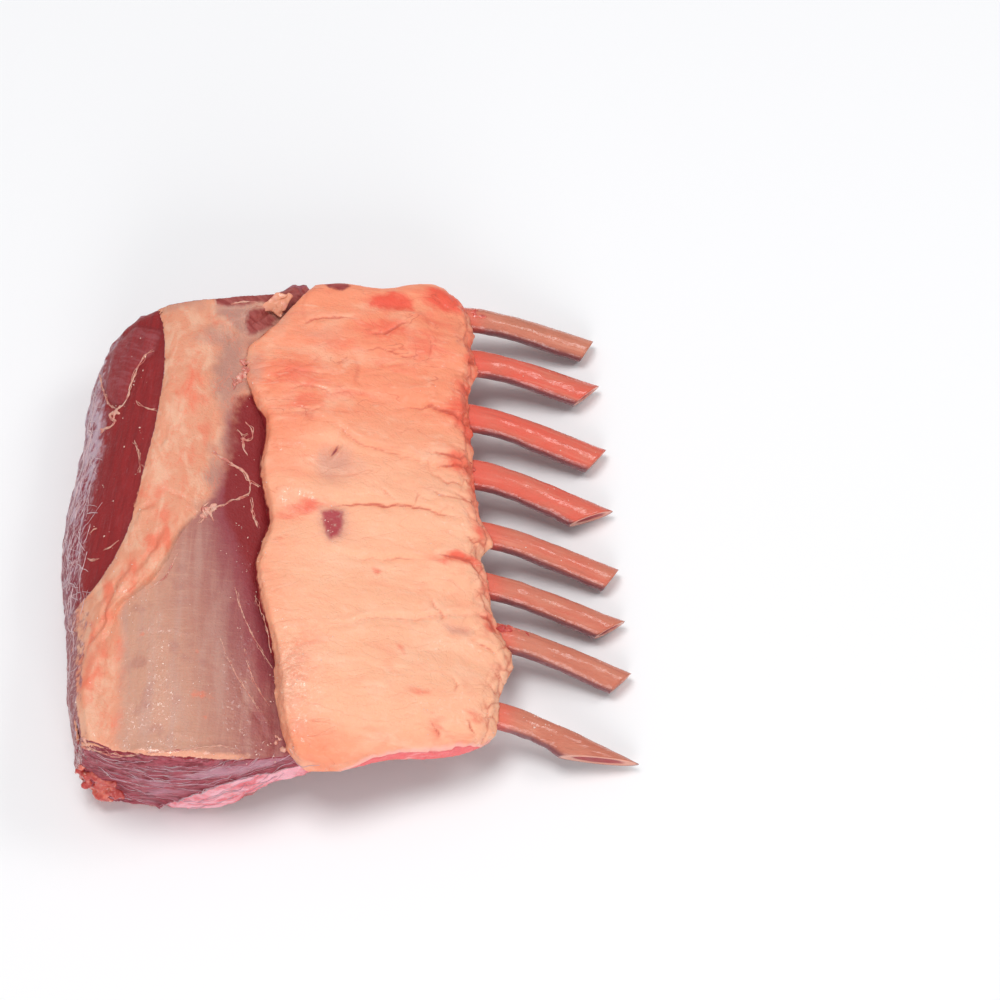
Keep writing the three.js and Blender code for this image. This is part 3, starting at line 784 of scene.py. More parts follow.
RED_CREASES = {0: 0.6, 1: 0.9, 2: 0.5, 3: 0.7, 6: 0.8, 7: 0.9, 8: 0.5, 9: 1.0, 10: 0.45, 11: 0.6, 12: 0.6,
               14: 0.6, 16: 0.75, 17: 0.75, 19: 0.5, 20: 0.6, 21: 0.6, 22: 0.7, 24: 0.6, 25: 0.6, 31: 1.0,
               32: 0.9, 33: 0.9, 34: 0.7, 35: 1.0, 36: 0.6, 37: 0.9, 38: 0.8, 39: 0.7}  # how red each is
HOLLOWS = [(124, 125, 26, 5, 0.9), (124, 103, 30, 4, 0.9), (130, 149, 24, 4, 0.9), (124, 82, 26, 5, 0.8),
           (130, 59, 28, 4, 0.8), (128, 36, 22, 5, 0.4), (118, 180, 26, 4, 0.6), (101, 120, 9, 9, 0.9)]
CAP_CORAL = [(120, 195.5, 10, 5.5, 0.9), (141, 200, 10, 6, 1.45), (118, 182, 16, 6, 0.75),
             (134, 176, 12, 9, 0.65),
             (123, 165, 12, 6, 0.45), (84, 158, 16, 10, 0.65), (88, 145, 12, 7, 0.6), (104, 151, 16, 5, 0.5),
             (149, 161, 6, 6, 0.9), (147, 152, 6, 8, 1.0), (150, 143, 5, 9, 1.05), (148, 128, 7, 5, 0.95),
             (92, 101, 8, 4, 0.9), (84, 97, 7, 3, 0.6), (148, 85, 12, 3, 1.0), (157, 78, 4, 6, 0.75),
             (157, 64, 5, 6, 0.85), (151, 10.5, 6.5, 3.5, 1.2), (139, 14.5, 4, 6, 0.6), (152, 22, 4, 3, 0.7),
             (93, 44, 8, 12, 0.35), (134, 28, 6, 2, 0.7), (116, 77, 2, 1.5, 0.9), (126, 45, 2, 1.5, 0.7),
             (154, 119, 4, 22, 0.9), (152, 148, 6, 5, 1.1), (159, 62, 6, 4, 0.9), (156, 100, 4, 6, 0.9),
             (152, 178, 4, 16, 0.85), (82, 86, 4, 3, 0.45), (100, 172, 14, 5, 0.5), (138, 188, 10, 6, 0.6)]
CAP_GREY = [(102, 119, 8, 9, 1.0), (94, 176, 16, 5, 0.55), (147, 56, 5, 2.5, 0.9), (79, 186, 9, 7, 0.5),
            (130, 168, 7, 5, 0.3), (148, 74, 10, 7, 0.3), (143, 116, 9, 6, 0.25), (104, 92, 7, 7, 0.6),
            (69, 160, 4, 8, 0.9), (87, 30, 8, 20, 0.6), (90, 12, 8, 5, 0.5), (112, 74, 10, 5, 0.25),
            (78, 186, 5, 9, 0.7)]
RED_SPOT = [(96.5, 99), (101, 100), (104.5, 99), (104.5, 93), (103, 89), (100, 87), (98, 90), (96.5, 95)]
SHOULDER_FLESH = [(93, 203), (96, 200), (101, 197.5), (105, 200.5), (104, 204)]
SHOULDER_BLOOD = [(111, 192), (116, 191.5), (123, 192), (129, 192.5), (128, 197), (121, 200.5), (114, 197)]
PEBBLED = [(133, 106, 18, 6, 0.8), (94, 40, 8, 16, 0.5), (128, 35, 10, 5, 0.4), (150, 60, 9, 8, 0.6)]

cap_skin = node_skin("fat_cap", CAP_FACE_MM)
places, normals = read_skin(cap_skin)
u, v, z = places.T
top = ramp(normals[:, 2], 0.1, 0.5)
rib_side = read_off(CAP_RIB_EDGE, v) - u
near_rib_side = 1 - ramp(rib_side, 2, 12)
back_side = 1 - ramp(u - read_off(CAP_BACK_EDGE, v), 0, 6)
proud = uneven(places, (0.45, 14, 21), (0.18, 5, 22), (0.06, 2, 23))
proud -= patches(places, HOLLOWS)
rough = np.maximum(near_rib_side, patches(places, PEBBLED))
cracks = pebbles(places + 2.0 * lumps(places, 5, 24)[:, None], (12, 8, 9), 25)
small_cracks = pebbles(places + 1.2 * lumps(places, 4, 37)[:, None], (6, 4.5, 5), 38)
proud += rough * (2.0 * np.minimum(cracks, 0.35) + 0.8 * np.minimum(small_cracks, 0.4) - 0.7)
winding = lumps(places + 4 * lumps(places, 11, 27)[:, None], (24, 8, 30), 28)
other_winding = lumps(places + 4 * lumps(places, 9, 29)[:, None], (14, 7, 30), 30)
wrinkled = ramp(lumps(places, (26, 16, 30), 31) + 0.4 * ramp(v, 80, 150), 0.0, 0.6)
wrinkles = np.maximum(ridge(winding, 0.08), 0.6 * ridge(other_winding, 0.08)) * wrinkled
proud -= 0.2 * wrinkles
proud += (1 - top) * uneven(places, (0.6, 3, 32), (0.35, 1.7, 33))
proud += back_side * uneven(places, (0.5, 4, 34), (0.3, 2, 35))
wandering = unsteady(places)
proud += folded(wandering, CREASES)
proud += 0.3 * patches(places, CRINKLED) * ridge(lumps(places, (3, 1.8, 2), 40), 0.12)
creased = np.maximum(0.55 * wrinkles * ramp(v, 60, 150), rough * (0.85 - 5 * cracks))
for k, strength in RED_CREASES.items():
    gap, side, share = beside(wandering, CREASES[k][0])
    creased = np.maximum(creased, 1.25 * strength * fading(share) * ridge(gap, 0.65))
kept = ramp(normals[:, 2], -0.5, 0.1)
gap, side, share = beside(places, CREASES[SLIT][0])
slit = 0.75 * ridge(gap, 0.75) * fading(share, 0.05)
row = np.round(v - v.min()).astype(int)
edge_top = np.full(row.max() + 1, -99.0)
back_edge = read_off(CAP_BACK_EDGE, v)
over_loin = u < back_edge + 6
np.maximum.at(edge_top, row[over_loin], z[over_loin])
# Painted shade and flesh: dark red on the wall below its edge's top, but not near the loin end.
wall = np.minimum(edge_top[row] - z - FAT_ON_THE_WALL_MM + lumps(places, 5, 39), back_edge + 4 - u)
wall -= 5 * (1 - ramp(v, 22, 58))
warm = ramp(v + 8 * lumps(places, 25, 36), 95, 165) + 0.6 * (1 - ramp(v, 4, 20))
warm += 0.45 * (1 - ramp(u - back_edge, 4, 28))
keep_on_skin(
    cap_skin,
    wall=np.clip(wall, -5, 5),
    crease=creased,
    coral=patches(places, CAP_CORAL),
    grey=patches(places, CAP_GREY),
    warm=np.clip(warm, 0, 1),
    red_spot=np.clip(inside(places, RED_SPOT), -5, 5),
    flesh=np.clip(inside(places, SHOULDER_FLESH), -5, 5),
    blood=np.clip(inside(places, SHOULDER_BLOOD), -5, 5),
    pink=np.clip(np.minimum(read_off(PINK_TOP, u) - z, read_off(PINK_WALL, u) - v), -5, 5),
    crinkled=patches(places, CRINKLED),
    slit=slit,
    under=np.clip(-normals[:, 2], -1, 1))
reshape_skin(cap_skin, places + normals * (proud * kept)[:, None])

CAP_PEACH = srgb(253, 182, 146)
CAP_ORANGE = srgb(248, 143, 106)
CAP_PALE = srgb(255, 204, 172)
CAP_RED = srgb(238, 84, 62)
CAP_GREY_TAN = srgb(212, 150, 130)
CREASE_RED = srgb(204, 84, 62)
SPOT_RED = srgb(176, 66, 72)
EDGE_PINK = srgb(244, 112, 114)
EDGE_RED = srgb(214, 66, 72)
LIP_PINK = srgb(255, 190, 184)
FAT_GLOW = (1.0, 0.45, 0.3)  # how far red, green and blue light spread inside fat

cap_finish = Finish("cap_fat", Subsurface_Weight=0.2, Subsurface_Radius=FAT_GLOW, Subsurface_Scale=0.003,
                    Coat_Roughness=0.16, Specular_IOR_Level=0.4)
noise, field = cap_finish.noise, cap_finish.field
ragged = noise(2.4, 4) - 0.5
cloudy = noise((16, 10, 10), 3, warp=0.3)
brushed = noise((13, 4.5, 8), 5, turn=0.1, warp=1.6)
warm = step(field("warm") + (cloudy - 0.5) * 1.2, 0.0, 1.0)
swells = noise((9, 4.5, 6), 2, turn=0.1, warp=1.0) + brushed * warm * 0.6
strands = near(noise((30, 12, 14), 3, turn=-0.1, warp=1.2), 0.5, 0.016)
patchy = step(noise(9, 2), 0.5, 0.66)
flushed = step(noise((19, 8, 9), 4, warp=1.4), 0.5, 0.74)
crinkle = near(noise((3, 1.6, 2), 4, warp=1.0), 0.5, 0.04) * field("crinkled")
spot = field("red_spot") + ragged * 2.6
pink = field("pink") + ragged * 2
pink_flesh = coats(
    EDGE_PINK,
    (step(noise((12, 6, 2.5), 3), 0.5, 0.7) * 0.7, LIP_PINK),
    (near(pink, 0.5, 0.6) * 0.5, EDGE_RED))
cap_colour = coats(
    CAP_PEACH,
    (warm * 0.85, CAP_ORANGE),
    (step(cloudy, 0.45, 0.75) * 0.45, CAP_PALE),
    (step(field("grey") + (cloudy - 0.5) * 0.5, 0.1, 1.1) * 0.8, CAP_GREY_TAN),
    (step(field("coral") + (brushed - 0.5) * 1.3 + ragged * 0.3, 0.12, 1.15) * 0.88, CAP_RED),
    (strands * patchy * (0.1 + warm * 0.35), CREASE_RED),
    (step(brushed, 0.55, 0.75) * 0.4, CAP_PALE),
    (flushed * 0.14, CAP_RED),
    (step(field("blood") + ragged * 3, -1.2, 1.6) * 0.75, CAP_RED),
    (crinkle * 0.75, CAP_PALE),
    (step(field("crease") + (noise(3, 2) - 0.5) * 0.5, 0.25, 1.0) * 0.75, CREASE_RED),
    (step(spot, -3.5, 0.6) * 0.6, CAP_GREY_TAN),
    (step(spot, -0.9, 1.3), mix(step(ragged, -0.02, 0.2) * 0.45, SPOT_RED, SILVER_MIST)),
    (step(field("slit") + ragged * 0.3, 0.3, 0.8), PURPLE),
    (step(field("flesh") + ragged * 3, -0.5, 1.2), mix(step(cloudy, 0.4, 0.6), STRIP_RED, LENS_RED)),
    # painted shade and flesh on the wall over the loin
    (step(field("wall") + ragged * 2, -0.4, 0.8), STRIP_RED),
    (step(pink, -3.5, -0.8) * 0.6, LIP_PINK),
    (step(pink, -0.5, 0.5), pink_flesh),
    (step(field("under") + ragged * 0.3, 0.2, 0.5), mix(cloudy, UNDER_PINK, BAND_CREAM)))
cap_finish.feed(
    Base_Color=cap_colour,
    Roughness=0.4 + 0.28 * noise(2, 3),
    Coat_Weight=0.05 + 0.7 * step(noise(1.3, 4), 0.57, 0.68),
    Normal=relief(noise(1.2, 4) - strands * 0.3, 0.22, relief(swells, 0.3)))
cap = dress("fat_cap_skin", cap_skin, cap_finish, "fat", "fat_cap")

# ---- Ribs -------------------------------------------------------------------------------------
# Eight flattened rib bones, sawn at the chine, that follow one arch across the rack and lean towards
# the loin end. Their outer ends were scraped clean and cut on a slant, which opens the marrow.

RIBS = [  # v where it leaves the meat, its width, its lean and its tip's cut in degrees, its blush
    (28.5, 10.5, 20, 20, 0.3),
    (60.5, 10.5, 16, 62, 0.3),
    (81.5, 10.5, 14.5, 48, 0.4),
    (103, 10.5, 14, 70, 0.5),
    (129, 12.5, 14.5, 40, 0.75),
    (154, 12, 12, 64, 0.8),
    (179, 11.5, 8, 52, 0.75),
    (199, 10.5, 6, 68, 0.15),
]
RIB_THICKNESS = 7.8
RIB_START_V = (32, 179)  # where the first and the last start at the chine side
RIB_TIP_U = (211, 198)  # and how far out they reach
RIB_ARCH = [(4, 7.4), (40, 7.6), (62, 9.5), (85, 15), (118, 20.5), (148, 19.5), (166, 16), (211, 3.4)]
RIB_STEP_MM = 1.5
RIB_BEND = (0.62, 0.55, 3)  # what shares of its way to the meat's edge lie before its bend, and mm along
WAIST = (14, 12, 0.07)  # how far past the meat it is narrowest, over what length, and by what share
RIB_ROWS = 170  # rows of faces along a rib
RIB_SIDES = 36  # faces round it
CLOSING_ROWS = 9  # of the rows, those that close each end
SLANT_REACH = 46  # how far back a slanted cut pulls the tip
MARROW_DEPTH = 2.2
KNOB_HEIGHT = 1.0
SCRAPE_DEPTH = 0.5
SEAM_WELD = 0.004  # corners of a rib's rolled sheet that lie closer are one


def through(points, x):
    """A smooth curve through a few points, read off at x, level past its ends."""
    xs, ys = np.array(points, float).T
    slopes = (np.r_[ys[1:], ys[-1]] - np.r_[ys[0], ys[:-1]]) / (np.r_[xs[1:], xs[-1]] - np.r_[xs[0], xs[:-1]])
    x = np.clip(x, xs[0], xs[-1])
    i = np.clip(np.searchsorted(xs, x, side="right") - 1, 0, len(xs) - 2)
    gap = xs[i + 1] - xs[i]
    t = (x - xs[i]) / gap
    return ((2 * t**3 - 3 * t**2 + 1) * ys[i] + (t**3 - 2 * t**2 + t) * gap * slopes[i]
            + (3 * t**2 - 2 * t**3) * ys[i + 1] + (t**3 - t**2) * gap * slopes[i + 1])


class Shape(Board):
    """A Geometry Nodes tree with named inputs, which makes a plain mesh from a base."""

    def __init__(self, name, **inputs):
        super().__init__(bpy.data.node_groups.new(name, "GeometryNodeTree"))
        sockets = {"Base": "Geometry", **inputs, "Finish": "Material"}
        for label, kind in sockets.items():
            self.tree.interface.new_socket(label, in_out="INPUT", socket_type="NodeSocket" + kind)
        self.tree.interface.new_socket("Made", in_out="OUTPUT", socket_type="NodeSocketGeometry")
        self.inlet = self.node("NodeGroupInput")

    def given(self, label):
        return self.inlet.also(label)

    def kept(self, name, kind="FLOAT"):
        """A number kept on the geometry under a name."""
        return self.node("GeometryNodeInputNamedAttribute", {"data_type": kind}, {"Name": name})

    def keep(self, geometry, name, value, kind="FLOAT", domain="POINT"):
        return self.node("GeometryNodeStoreNamedAttribute", {"data_type": kind, "domain": domain},
                         {"Geometry": geometry, "Name": name, "Value": value})

    def limit(self, value):
        return self.node("ShaderNodeClamp", None, {"Value": value})

    def noise(self, place, size_mm, detail=2.0):
        """Noise from -0.5 to 0.5."""
        scale = [1 / (size * MM) for size in np.broadcast_to(size_mm, 3)]
        return self.node("ShaderNodeTexNoise", None, {
            "Vector": self.vector("MULTIPLY", place, scale), "Scale": 1.0, "Detail": detail}) - 0.5

    def close(self, geometry):
        loose = self.node("GeometryNodeRealizeInstances", None, {0: geometry})
        finished = self.node("GeometryNodeSetMaterial", None, {0: loose, "Material": self.given("Finish")})
        self.node("NodeGroupOutput", None, {0: finished})

    def make(self, base, **values):
        maker = bpy.data.objects.new(self.tree.name, base)
        bpy.context.collection.objects.link(maker)
        modifier = maker.modifiers.new(self.tree.name, "NODES")
        modifier.node_group = self.tree
        for socket in self.tree.interface.items_tree:
            if socket.in_out == "INPUT" and socket.name in values:
                modifier[socket.identifier] = values[socket.name]
        made = bpy.data.meshes.new_from_object(maker.evaluated_get(bpy.context.evaluated_depsgraph_get()))
        bpy.data.objects.remove(maker)
        return made


def chains(name, lines, **kept):
    """Lines of points in u, v and height as a mesh of edges, with numbers kept at each point."""
    base = bpy.data.meshes.new(name)
    points = np.concatenate(lines) * MM + [U_START, V_START, 0]
    starts = np.cumsum([0] + [len(line) for line in lines[:-1]])
    edges = [(start + k, start + k + 1) for start, line in zip(starts, lines) for k in range(len(line) - 1)]
    base.from_pydata(points.tolist(), edges, [])
    keep_on_skin(base, **{key: np.concatenate(values) for key, values in kept.items()})
    return base


rib_lines, rib_widths, rib_cuts, rib_blushes, rib_bares = [], [], [], [], []
for i, (root_v, width, lean_deg, cut_deg, blush) in enumerate(RIBS):
    share = i / (len(RIBS) - 1)
    start_u = (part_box(f"rib_{i + 1}")[0].x - U_START) / MM
    start_v, tip_u = np.interp(share, (0, 1), RIB_START_V), np.interp(share, (0, 1), RIB_TIP_U)
    root_u = float(through(CAP_RIB_EDGE, root_v))
    bend = (start_u + RIB_BEND[0] * (root_u - start_u),
            start_v + RIB_BEND[1] * (root_v - start_v) + RIB_BEND[2])
    tip_v = root_v - math.tan(math.radians(lean_deg)) * (tip_u - root_u)
    line_u = np.linspace(start_u, tip_u, round((tip_u - start_u) / RIB_STEP_MM) + 1)
    line_v = through([(start_u, start_v), bend, (root_u, root_v), (tip_u, tip_v)], line_u)
    stretch = 1 + (RIB_TIP_U[0] / tip_u - 1) * np.clip((line_u - root_u) / (tip_u - root_u), 0, 1)
    rib_lines.append(np.column_stack([line_u, line_v, through(RIB_ARCH, line_u * stretch)]))
    rib_widths.append(width * MM * (1 - WAIST[2] * ridge(line_u - root_u - WAIST[0], WAIST[1])))
    rib_cuts.append(np.full(len(line_u), 1 / math.tan(math.radians(cut_deg))))
    rib_blushes.append(np.full(len(line_u), blush))
    rib_bares.append(line_u - root_u)

# Each rib is a sheet rolled round its line: `along` and `turn` are where a point is on the sheet, and
# the last rows at both ends close it. The slant is made by pulling the tip back, more on one side.
ribs = Shape("frenched_ribs", Ribs="Int", Rows="Int", Sides="Int", Closing="Float", Thickness="Float",
             Slant_Reach="Float", Marrow_Depth="Float", Knobs="Float", Scrapes="Float")
rib_curves = ribs.node("GeometryNodeMeshToCurve", None, {0: ribs.given("Base")})
sheet = ribs.node("GeometryNodeMeshGrid", None, {
    "Size X": 1.0, "Size Y": 1.0, "Vertices X": ribs.given("Rows"), "Vertices Y": ribs.given("Sides")})
row = ribs.node("GeometryNodeMeshLine", None, {"Count": ribs.given("Ribs"), "Offset": (0, 0, 0)})
sheets = ribs.node("GeometryNodeInstanceOnPoints", None, {"Points": row, "Instance": sheet})
sheets = ribs.keep(sheets, "rib", ribs.node("GeometryNodeInputIndex"), "INT", "INSTANCE")
sheets = ribs.node("GeometryNodeRealizeInstances", None, {0: sheets})
corner = ribs.node("ShaderNodeSeparateXYZ", None, {0: ribs.node("GeometryNodeInputPosition")})
share, turn = corner + 0.5, (corner.also("Y") + 0.5) * math.tau
closing = ribs.given("Closing")
tip_end = ribs.limit((share - 1 + closing) / closing)
root_end = ribs.limit((closing - share) / closing)
along = ribs.limit((share - closing) / (1 - 2 * closing))


def sampled(value):
    return ribs.node("GeometryNodeSampleCurve", {"mode": "FACTOR", "data_type": "FLOAT"}, {
        "Curves": rib_curves, "Value": value, "Factor": along, "Curve Index": ribs.kept("rib", "INT")})


def bowed(wave_of_turn, power):
    """A round section's sine or cosine, made a little squarer."""
    size = ribs.node("ShaderNodeMath", {"operation": "ABSOLUTE"}, {0: wave_of_turn}) ** power
    return size * ribs.node("ShaderNodeMath", {"operation": "SIGN"}, {0: wave_of_turn})


width = sampled(ribs.kept("width"))
middle, ahead = width.also("Position"), width.also("Tangent")
right = ribs.vector("NORMALIZE", ribs.vector("CROSS_PRODUCT", ahead, (0, 0, 1)))
over = ribs.vector("CROSS_PRODUCT", right, ahead)
cosine = ribs.node("ShaderNodeMath", {"operation": "COSINE"}, {0: turn})
sine = ribs.node("ShaderNodeMath", {"operation": "SINE"}, {0: turn})
closed = ribs.node("ShaderNodeMath", {"operation": "MAXIMUM"}, {0: tip_end, 1: root_end})
open_share = 1 - closed
sideways = bowed(cosine, 0.95) * width * 0.5 * open_share
upward = bowed(sine, 1.0) * ribs.given("Thickness") * 0.5 * open_share
length = sampled(ribs.node("GeometryNodeSplineLength"))
pull = ribs.limit(1 - (1 - along) * length / ribs.given("Slant_Reach"))
pull = pull * (sideways + width * 0.5) * sampled(ribs.kept("cut"))
marrow = ribs.node("ShaderNodeMapRange", {"interpolation_type": "SMOOTHSTEP"},
                   {"Value": tip_end, "From Min": 0.3, "From Max": 0.6}) * ribs.given("Marrow_Depth")
aside = ribs.vector("ADD", ribs.scaled(right, sideways), ribs.scaled(over, upward))
place = ribs.vector("SUBTRACT", ribs.vector("ADD", middle, aside), ribs.scaled(ahead, pull + marrow))
grain = ribs.node("ShaderNodeCombineXYZ", None, {
    "X": along * length, "Y": sideways, "Z": upward + ribs.kept("rib", "INT") * (31 * MM)})
outward = ribs.vector("ADD", ribs.scaled(right, cosine), ribs.scaled(over, sine))
swell = ribs.noise(grain, 9) * ribs.given("Knobs")
swell = swell + ribs.noise(grain, (22, 1.5, 1.5), 3.0) * ribs.given("Scrapes")
place = ribs.vector("ADD", place, ribs.scaled(outward, swell * open_share))
bones = ribs.keep(sheets, "grain", grain, "FLOAT_VECTOR")
for name, value in {"bare_mm": sampled(ribs.kept("bare")), "blush": sampled(ribs.kept("blush")),
                    "cut_face": closed, "face_up": sine, "face_near": cosine}.items():
    bones = ribs.keep(bones, name, value)
bones = ribs.node("GeometryNodeSetPosition", None, {"Geometry": bones, "Position": place})
bones = ribs.node("GeometryNodeMergeByDistance", None, {"Geometry": bones, "Distance": SEAM_WELD * MM})
ribs.close(bones)

BONE_TAN = srgb(208, 124, 98)
BONE_BROWN = srgb(178, 108, 80)
BONE_CORAL = srgb(232, 88, 68)
BONE_PALE = srgb(246, 176, 152)
# A purple-grey of membrane, also used as painted shade on each rib's near, lower side.
BONE_SHADE_AND_MEMBRANE = srgb(120, 58, 66)
# Dark brown, for random dark streaks and for painted shade on the ribs' sides and undersides.
BONE_DARK_STREAKS_AND_SHADE = srgb(150, 66, 56)
MARROW_RED = srgb(170, 60, 64)

bone_finish = Finish("scraped_bone", Subsurface_Weight=0.08, Subsurface_Radius=(1.0, 0.4, 0.3),
                     Subsurface_Scale=0.002, Coat_Roughness=0.1, Specular_IOR_Level=0.45)
bone_finish.place = bone_finish.node("ShaderNodeAttribute", {"attribute_name": "grain"}, out="Vector")
noise, field = bone_finish.noise, bone_finish.field
mottle = noise((16, 5, 5), 3)
streaky = noise((26, 1.6, 1.6), 4)
blush = step(field("blush") + (mottle - 0.5) * 0.9, 0.15, 1.0)
# Painted shade, partly a purple-grey membrane: each rib's near, lower side is darkened.
near_side = field("face_near") - field("face_up") * 0.7 + (streaky - 0.5) * 0.4
bone_colour = coats(
    BONE_TAN,
    (blush * 0.9, BONE_CORAL),
    (step(mottle, 0.45, 0.65) * (1 - blush) * 0.4, BONE_BROWN),
    (step(streaky, 0.5, 0.8) * 0.3, BONE_PALE),
    (step(streaky, 0.42, 0.2) * 0.3, BONE_DARK_STREAKS_AND_SHADE),
    # Painted shade: each rib darkens away from its top, towards its sides and underside.
    (step(field("face_up") + (mottle - 0.5) * 0.5, 0.85, 0.1) * 0.6, BONE_DARK_STREAKS_AND_SHADE),
    (step(near_side, 0.25, 0.8) * 0.9, BONE_SHADE_AND_MEMBRANE),
    (step(field("bare_mm") + (mottle - 0.5) * 8, 8.0, 0.0) * 0.5, BONE_CORAL),
    (step(field("cut_face"), 0.0, 0.1) * 0.7, BONE_PALE),
    (step(field("cut_face") + (mottle - 0.5) * 0.2, 0.3, 0.45), MARROW_RED))
bone_finish.feed(
    Base_Color=bone_colour,
    Roughness=0.34 + 0.3 * noise(1.8, 3),
    Coat_Weight=0.35 + 0.6 * step(noise(1.5, 3), 0.42, 0.6),
    Normal=relief(noise(0.7, 3) + streaky * 0.2, 0.3, relief(mottle, 0.3)))

ribs_skin = ribs.make(
    chains("rib_lines", rib_lines, width=rib_widths, cut=rib_cuts, blush=rib_blushes, bare=rib_bares),
    Ribs=len(RIBS), Rows=RIB_ROWS, Sides=RIB_SIDES + 1, Closing=CLOSING_ROWS / (RIB_ROWS - 1),
    Thickness=RIB_THICKNESS * MM, Slant_Reach=SLANT_REACH * MM, Marrow_Depth=MARROW_DEPTH * MM,
    Knobs=KNOB_HEIGHT * MM, Scrapes=SCRAPE_DEPTH * MM, Finish=bone_finish.material)
rib_piece = dress("frenched_ribs", ribs_skin, None, "bone", *[f"rib_{i + 1}" for i in range(len(RIBS))])

# ---- Strings and threads ----------------------------------------------------------------------
# Frayed strings of fat and sinew lie where pieces of the meat were pulled apart, and a net of fine
# connective threads is stretched over the chine side and the cut end. All of it sticks to the meat.

ABOVE, LOIN_END, CHINE_SIDE = range(3)  # from where a route is laid on the meat
STRINGS = [  # its thickness in mm and its route, as (u, v)
    (0.9, [(31, 169), (28, 167), (26, 164), (24, 158), (23, 154), (22, 149), (20, 146), (17, 145)]),
    (1.3, [(19.5, 146), (17.5, 144.5), (15.5, 143.5), (16.5, 141), (18, 139.5)]),
    (0.9, [(18, 140), (16, 138), (13.5, 138.5), (12, 137)]),
    (0.8, [(8, 170), (9.5, 165), (10.5, 160), (12.5, 154), (15, 148), (17.5, 145.5)]),
    (0.6, [(26, 146), (29, 142.5), (35, 140)]),
    (0.5, [(26, 128), (28.5, 121), (29, 113)]),
    (0.5, [(29, 116.5), (32, 115)]),
    (0.6, [(14, 93), (12.5, 93), (11, 92)]),
    (0.8, [(17, 83), (19.5, 83.5), (23, 85.5)]),
    (0.5, [(11, 82), (13, 80.5), (16, 80)]),
    (0.9, [(67, 138), (69, 135.5), (69.5, 131), (67.5, 130), (66, 131), (66.5, 127), (68, 124)]),
    (0.5, [(64, 134), (66, 132), (68, 133)]),
    (1.5, [(56, 122.5), (58.5, 120.5), (61, 120), (63, 118.5)]),
    (1.2, [(62, 119.5), (65, 117.5), (67.5, 115.5), (69, 113), (72.5, 111.5)]),
    (0.9, [(69, 113.5), (69.5, 110), (69, 107), (66.5, 105), (63, 103), (60, 100)]),
    (1.4, [(61, 101), (57.5, 99), (56, 96.5), (57, 93.5)]),
    (1.0, [(55, 101), (53, 98), (54.5, 95), (52.5, 92)]),
    (0.6, [(70.5, 106), (71, 100), (73, 94)]),
    (0.6, [(45, 79), (43, 73), (41, 68.5), (36, 64.5)]),
    (0.5, [(66, 68), (68.5, 59), (72, 51), (76, 45), (80, 39)]),
    (0.35, [(62, 46), (64.5, 39), (68, 33), (72, 27), (77, 20)]),
    (0.35, [(70, 44), (72, 37), (75, 30), (80, 24)]),
    (0.6, [(73, 66), (76, 58), (79, 47), (81, 36), (82.5, 24), (84.5, 14), (87, 6)]),
    (0.6, [(16, 6), (21, 3), (28, 1.2), (36, 0.8)]),
    (0.6, [(38, 0.8), (47, 1.6), (55, 2.8), (63, 5), (70, 4.4)]),
    (0.8, [(59, 190), (64, 192), (69, 193)]),
    (0.6, [(64, 183), (65, 188), (68, 191), (72, 192), (76, 191)]),
    (0.8, [(60, 157), (62.5, 156), (64.5, 158), (65.5, 162)]),
    (0.7, [(61.5, 151), (62.5, 154.5), (61, 157)]),
]
FACE_STRINGS = [  # the same on the cut end, as (u, z)
    (1.1, [(38, 2.5), (42, 6), (47, 12), (52, 16.5), (57, 20.5), (61, 22.5)]),
    (1.2, [(60, 22.3), (66, 24), (70, 24.8), (75, 24.2), (80, 22)]),
    (0.8, [(31, 35), (36, 32), (43, 30), (51, 29), (58, 30.5), (66, 31)]),
    (0.7, [(28, 30), (35, 27), (44, 26), (53, 27.5)]),
    (0.7, [(48, 37), (56, 35), (64, 36), (72, 33.5)]),
    (0.7, [(36, 38), (43, 36.5), (50, 37.5)]),
    (0.6, [(22, 26), (30, 22), (39, 20.5), (46, 22)]),
    (0.8, [(43, 8), (51, 9.5), (60, 14), (70, 16.5)]),
    (0.8, [(50, 4), (58, 7), (67, 12), (78, 16)]),
    (0.7, [(20, 38), (25, 37), (30, 39)]),
]
STRANDS = (0.62, 0.4, 0.3)  # each string is frayed into these, of its thickness
NET_THREADS = 300
NET_SEED = 5
NET_ALONG, NET_HEIGHTS, NET_LENGTHS = (8, 176), (-4, 34), (4, 15)
NET_THICKNESS_MM = 0.25
NET_REACH_MM = 16  # how far onto the back a thread of the net may run
FACE_THREADS = 80
FACE_ACROSS, FACE_HEIGHTS, FACE_LENGTHS = (16, 84), (6, 42), (5, 16)
ROUTE_SHARES = (0, 0.35, 0.7, 1)  # of a thread's length, where its route has a point
THREAD_STEP_MM = 0.6
LONGEST_LEAP_MM = 2.5  # a thread ends where the meat falls away by more
DEEPEST_ON_THE_END = 16  # mm along the back
ABOVE_IT_ALL = 100  # mm; where looking down at the meat starts
BEFORE_THE_END = -60  # mm; where looking at the cut end starts
CHINE_MIDDLE = (25, 8)  # u and height of the line about which the chine side is looked at
CHINE_AWAY = 90  # mm from that line
CHINE_ROUND = 30  # mm of height on the chine side for each radian

graph = bpy.context.evaluated_depsgraph_get()
trees = [BVHTree.FromObject(piece, graph) for piece in (lean, band, cap, rib_piece)]


def met(start, aim):
    """Where the meat is first met from a start in u, v and height, and its normal there."""
    origin = Vector(start) * MM + Vector((U_START, V_START, 0))
    hits = [tree.ray_cast(origin, Vector(aim).normalized()) for tree in trees]
    hits = [hit for hit in hits if hit[0]]
    if not hits:
        return None
    place, normal = min(hits, key=lambda hit: hit[3])[:2]
    return (np.array(place) - [U_START, V_START, 0]) / MM, np.array(normal)


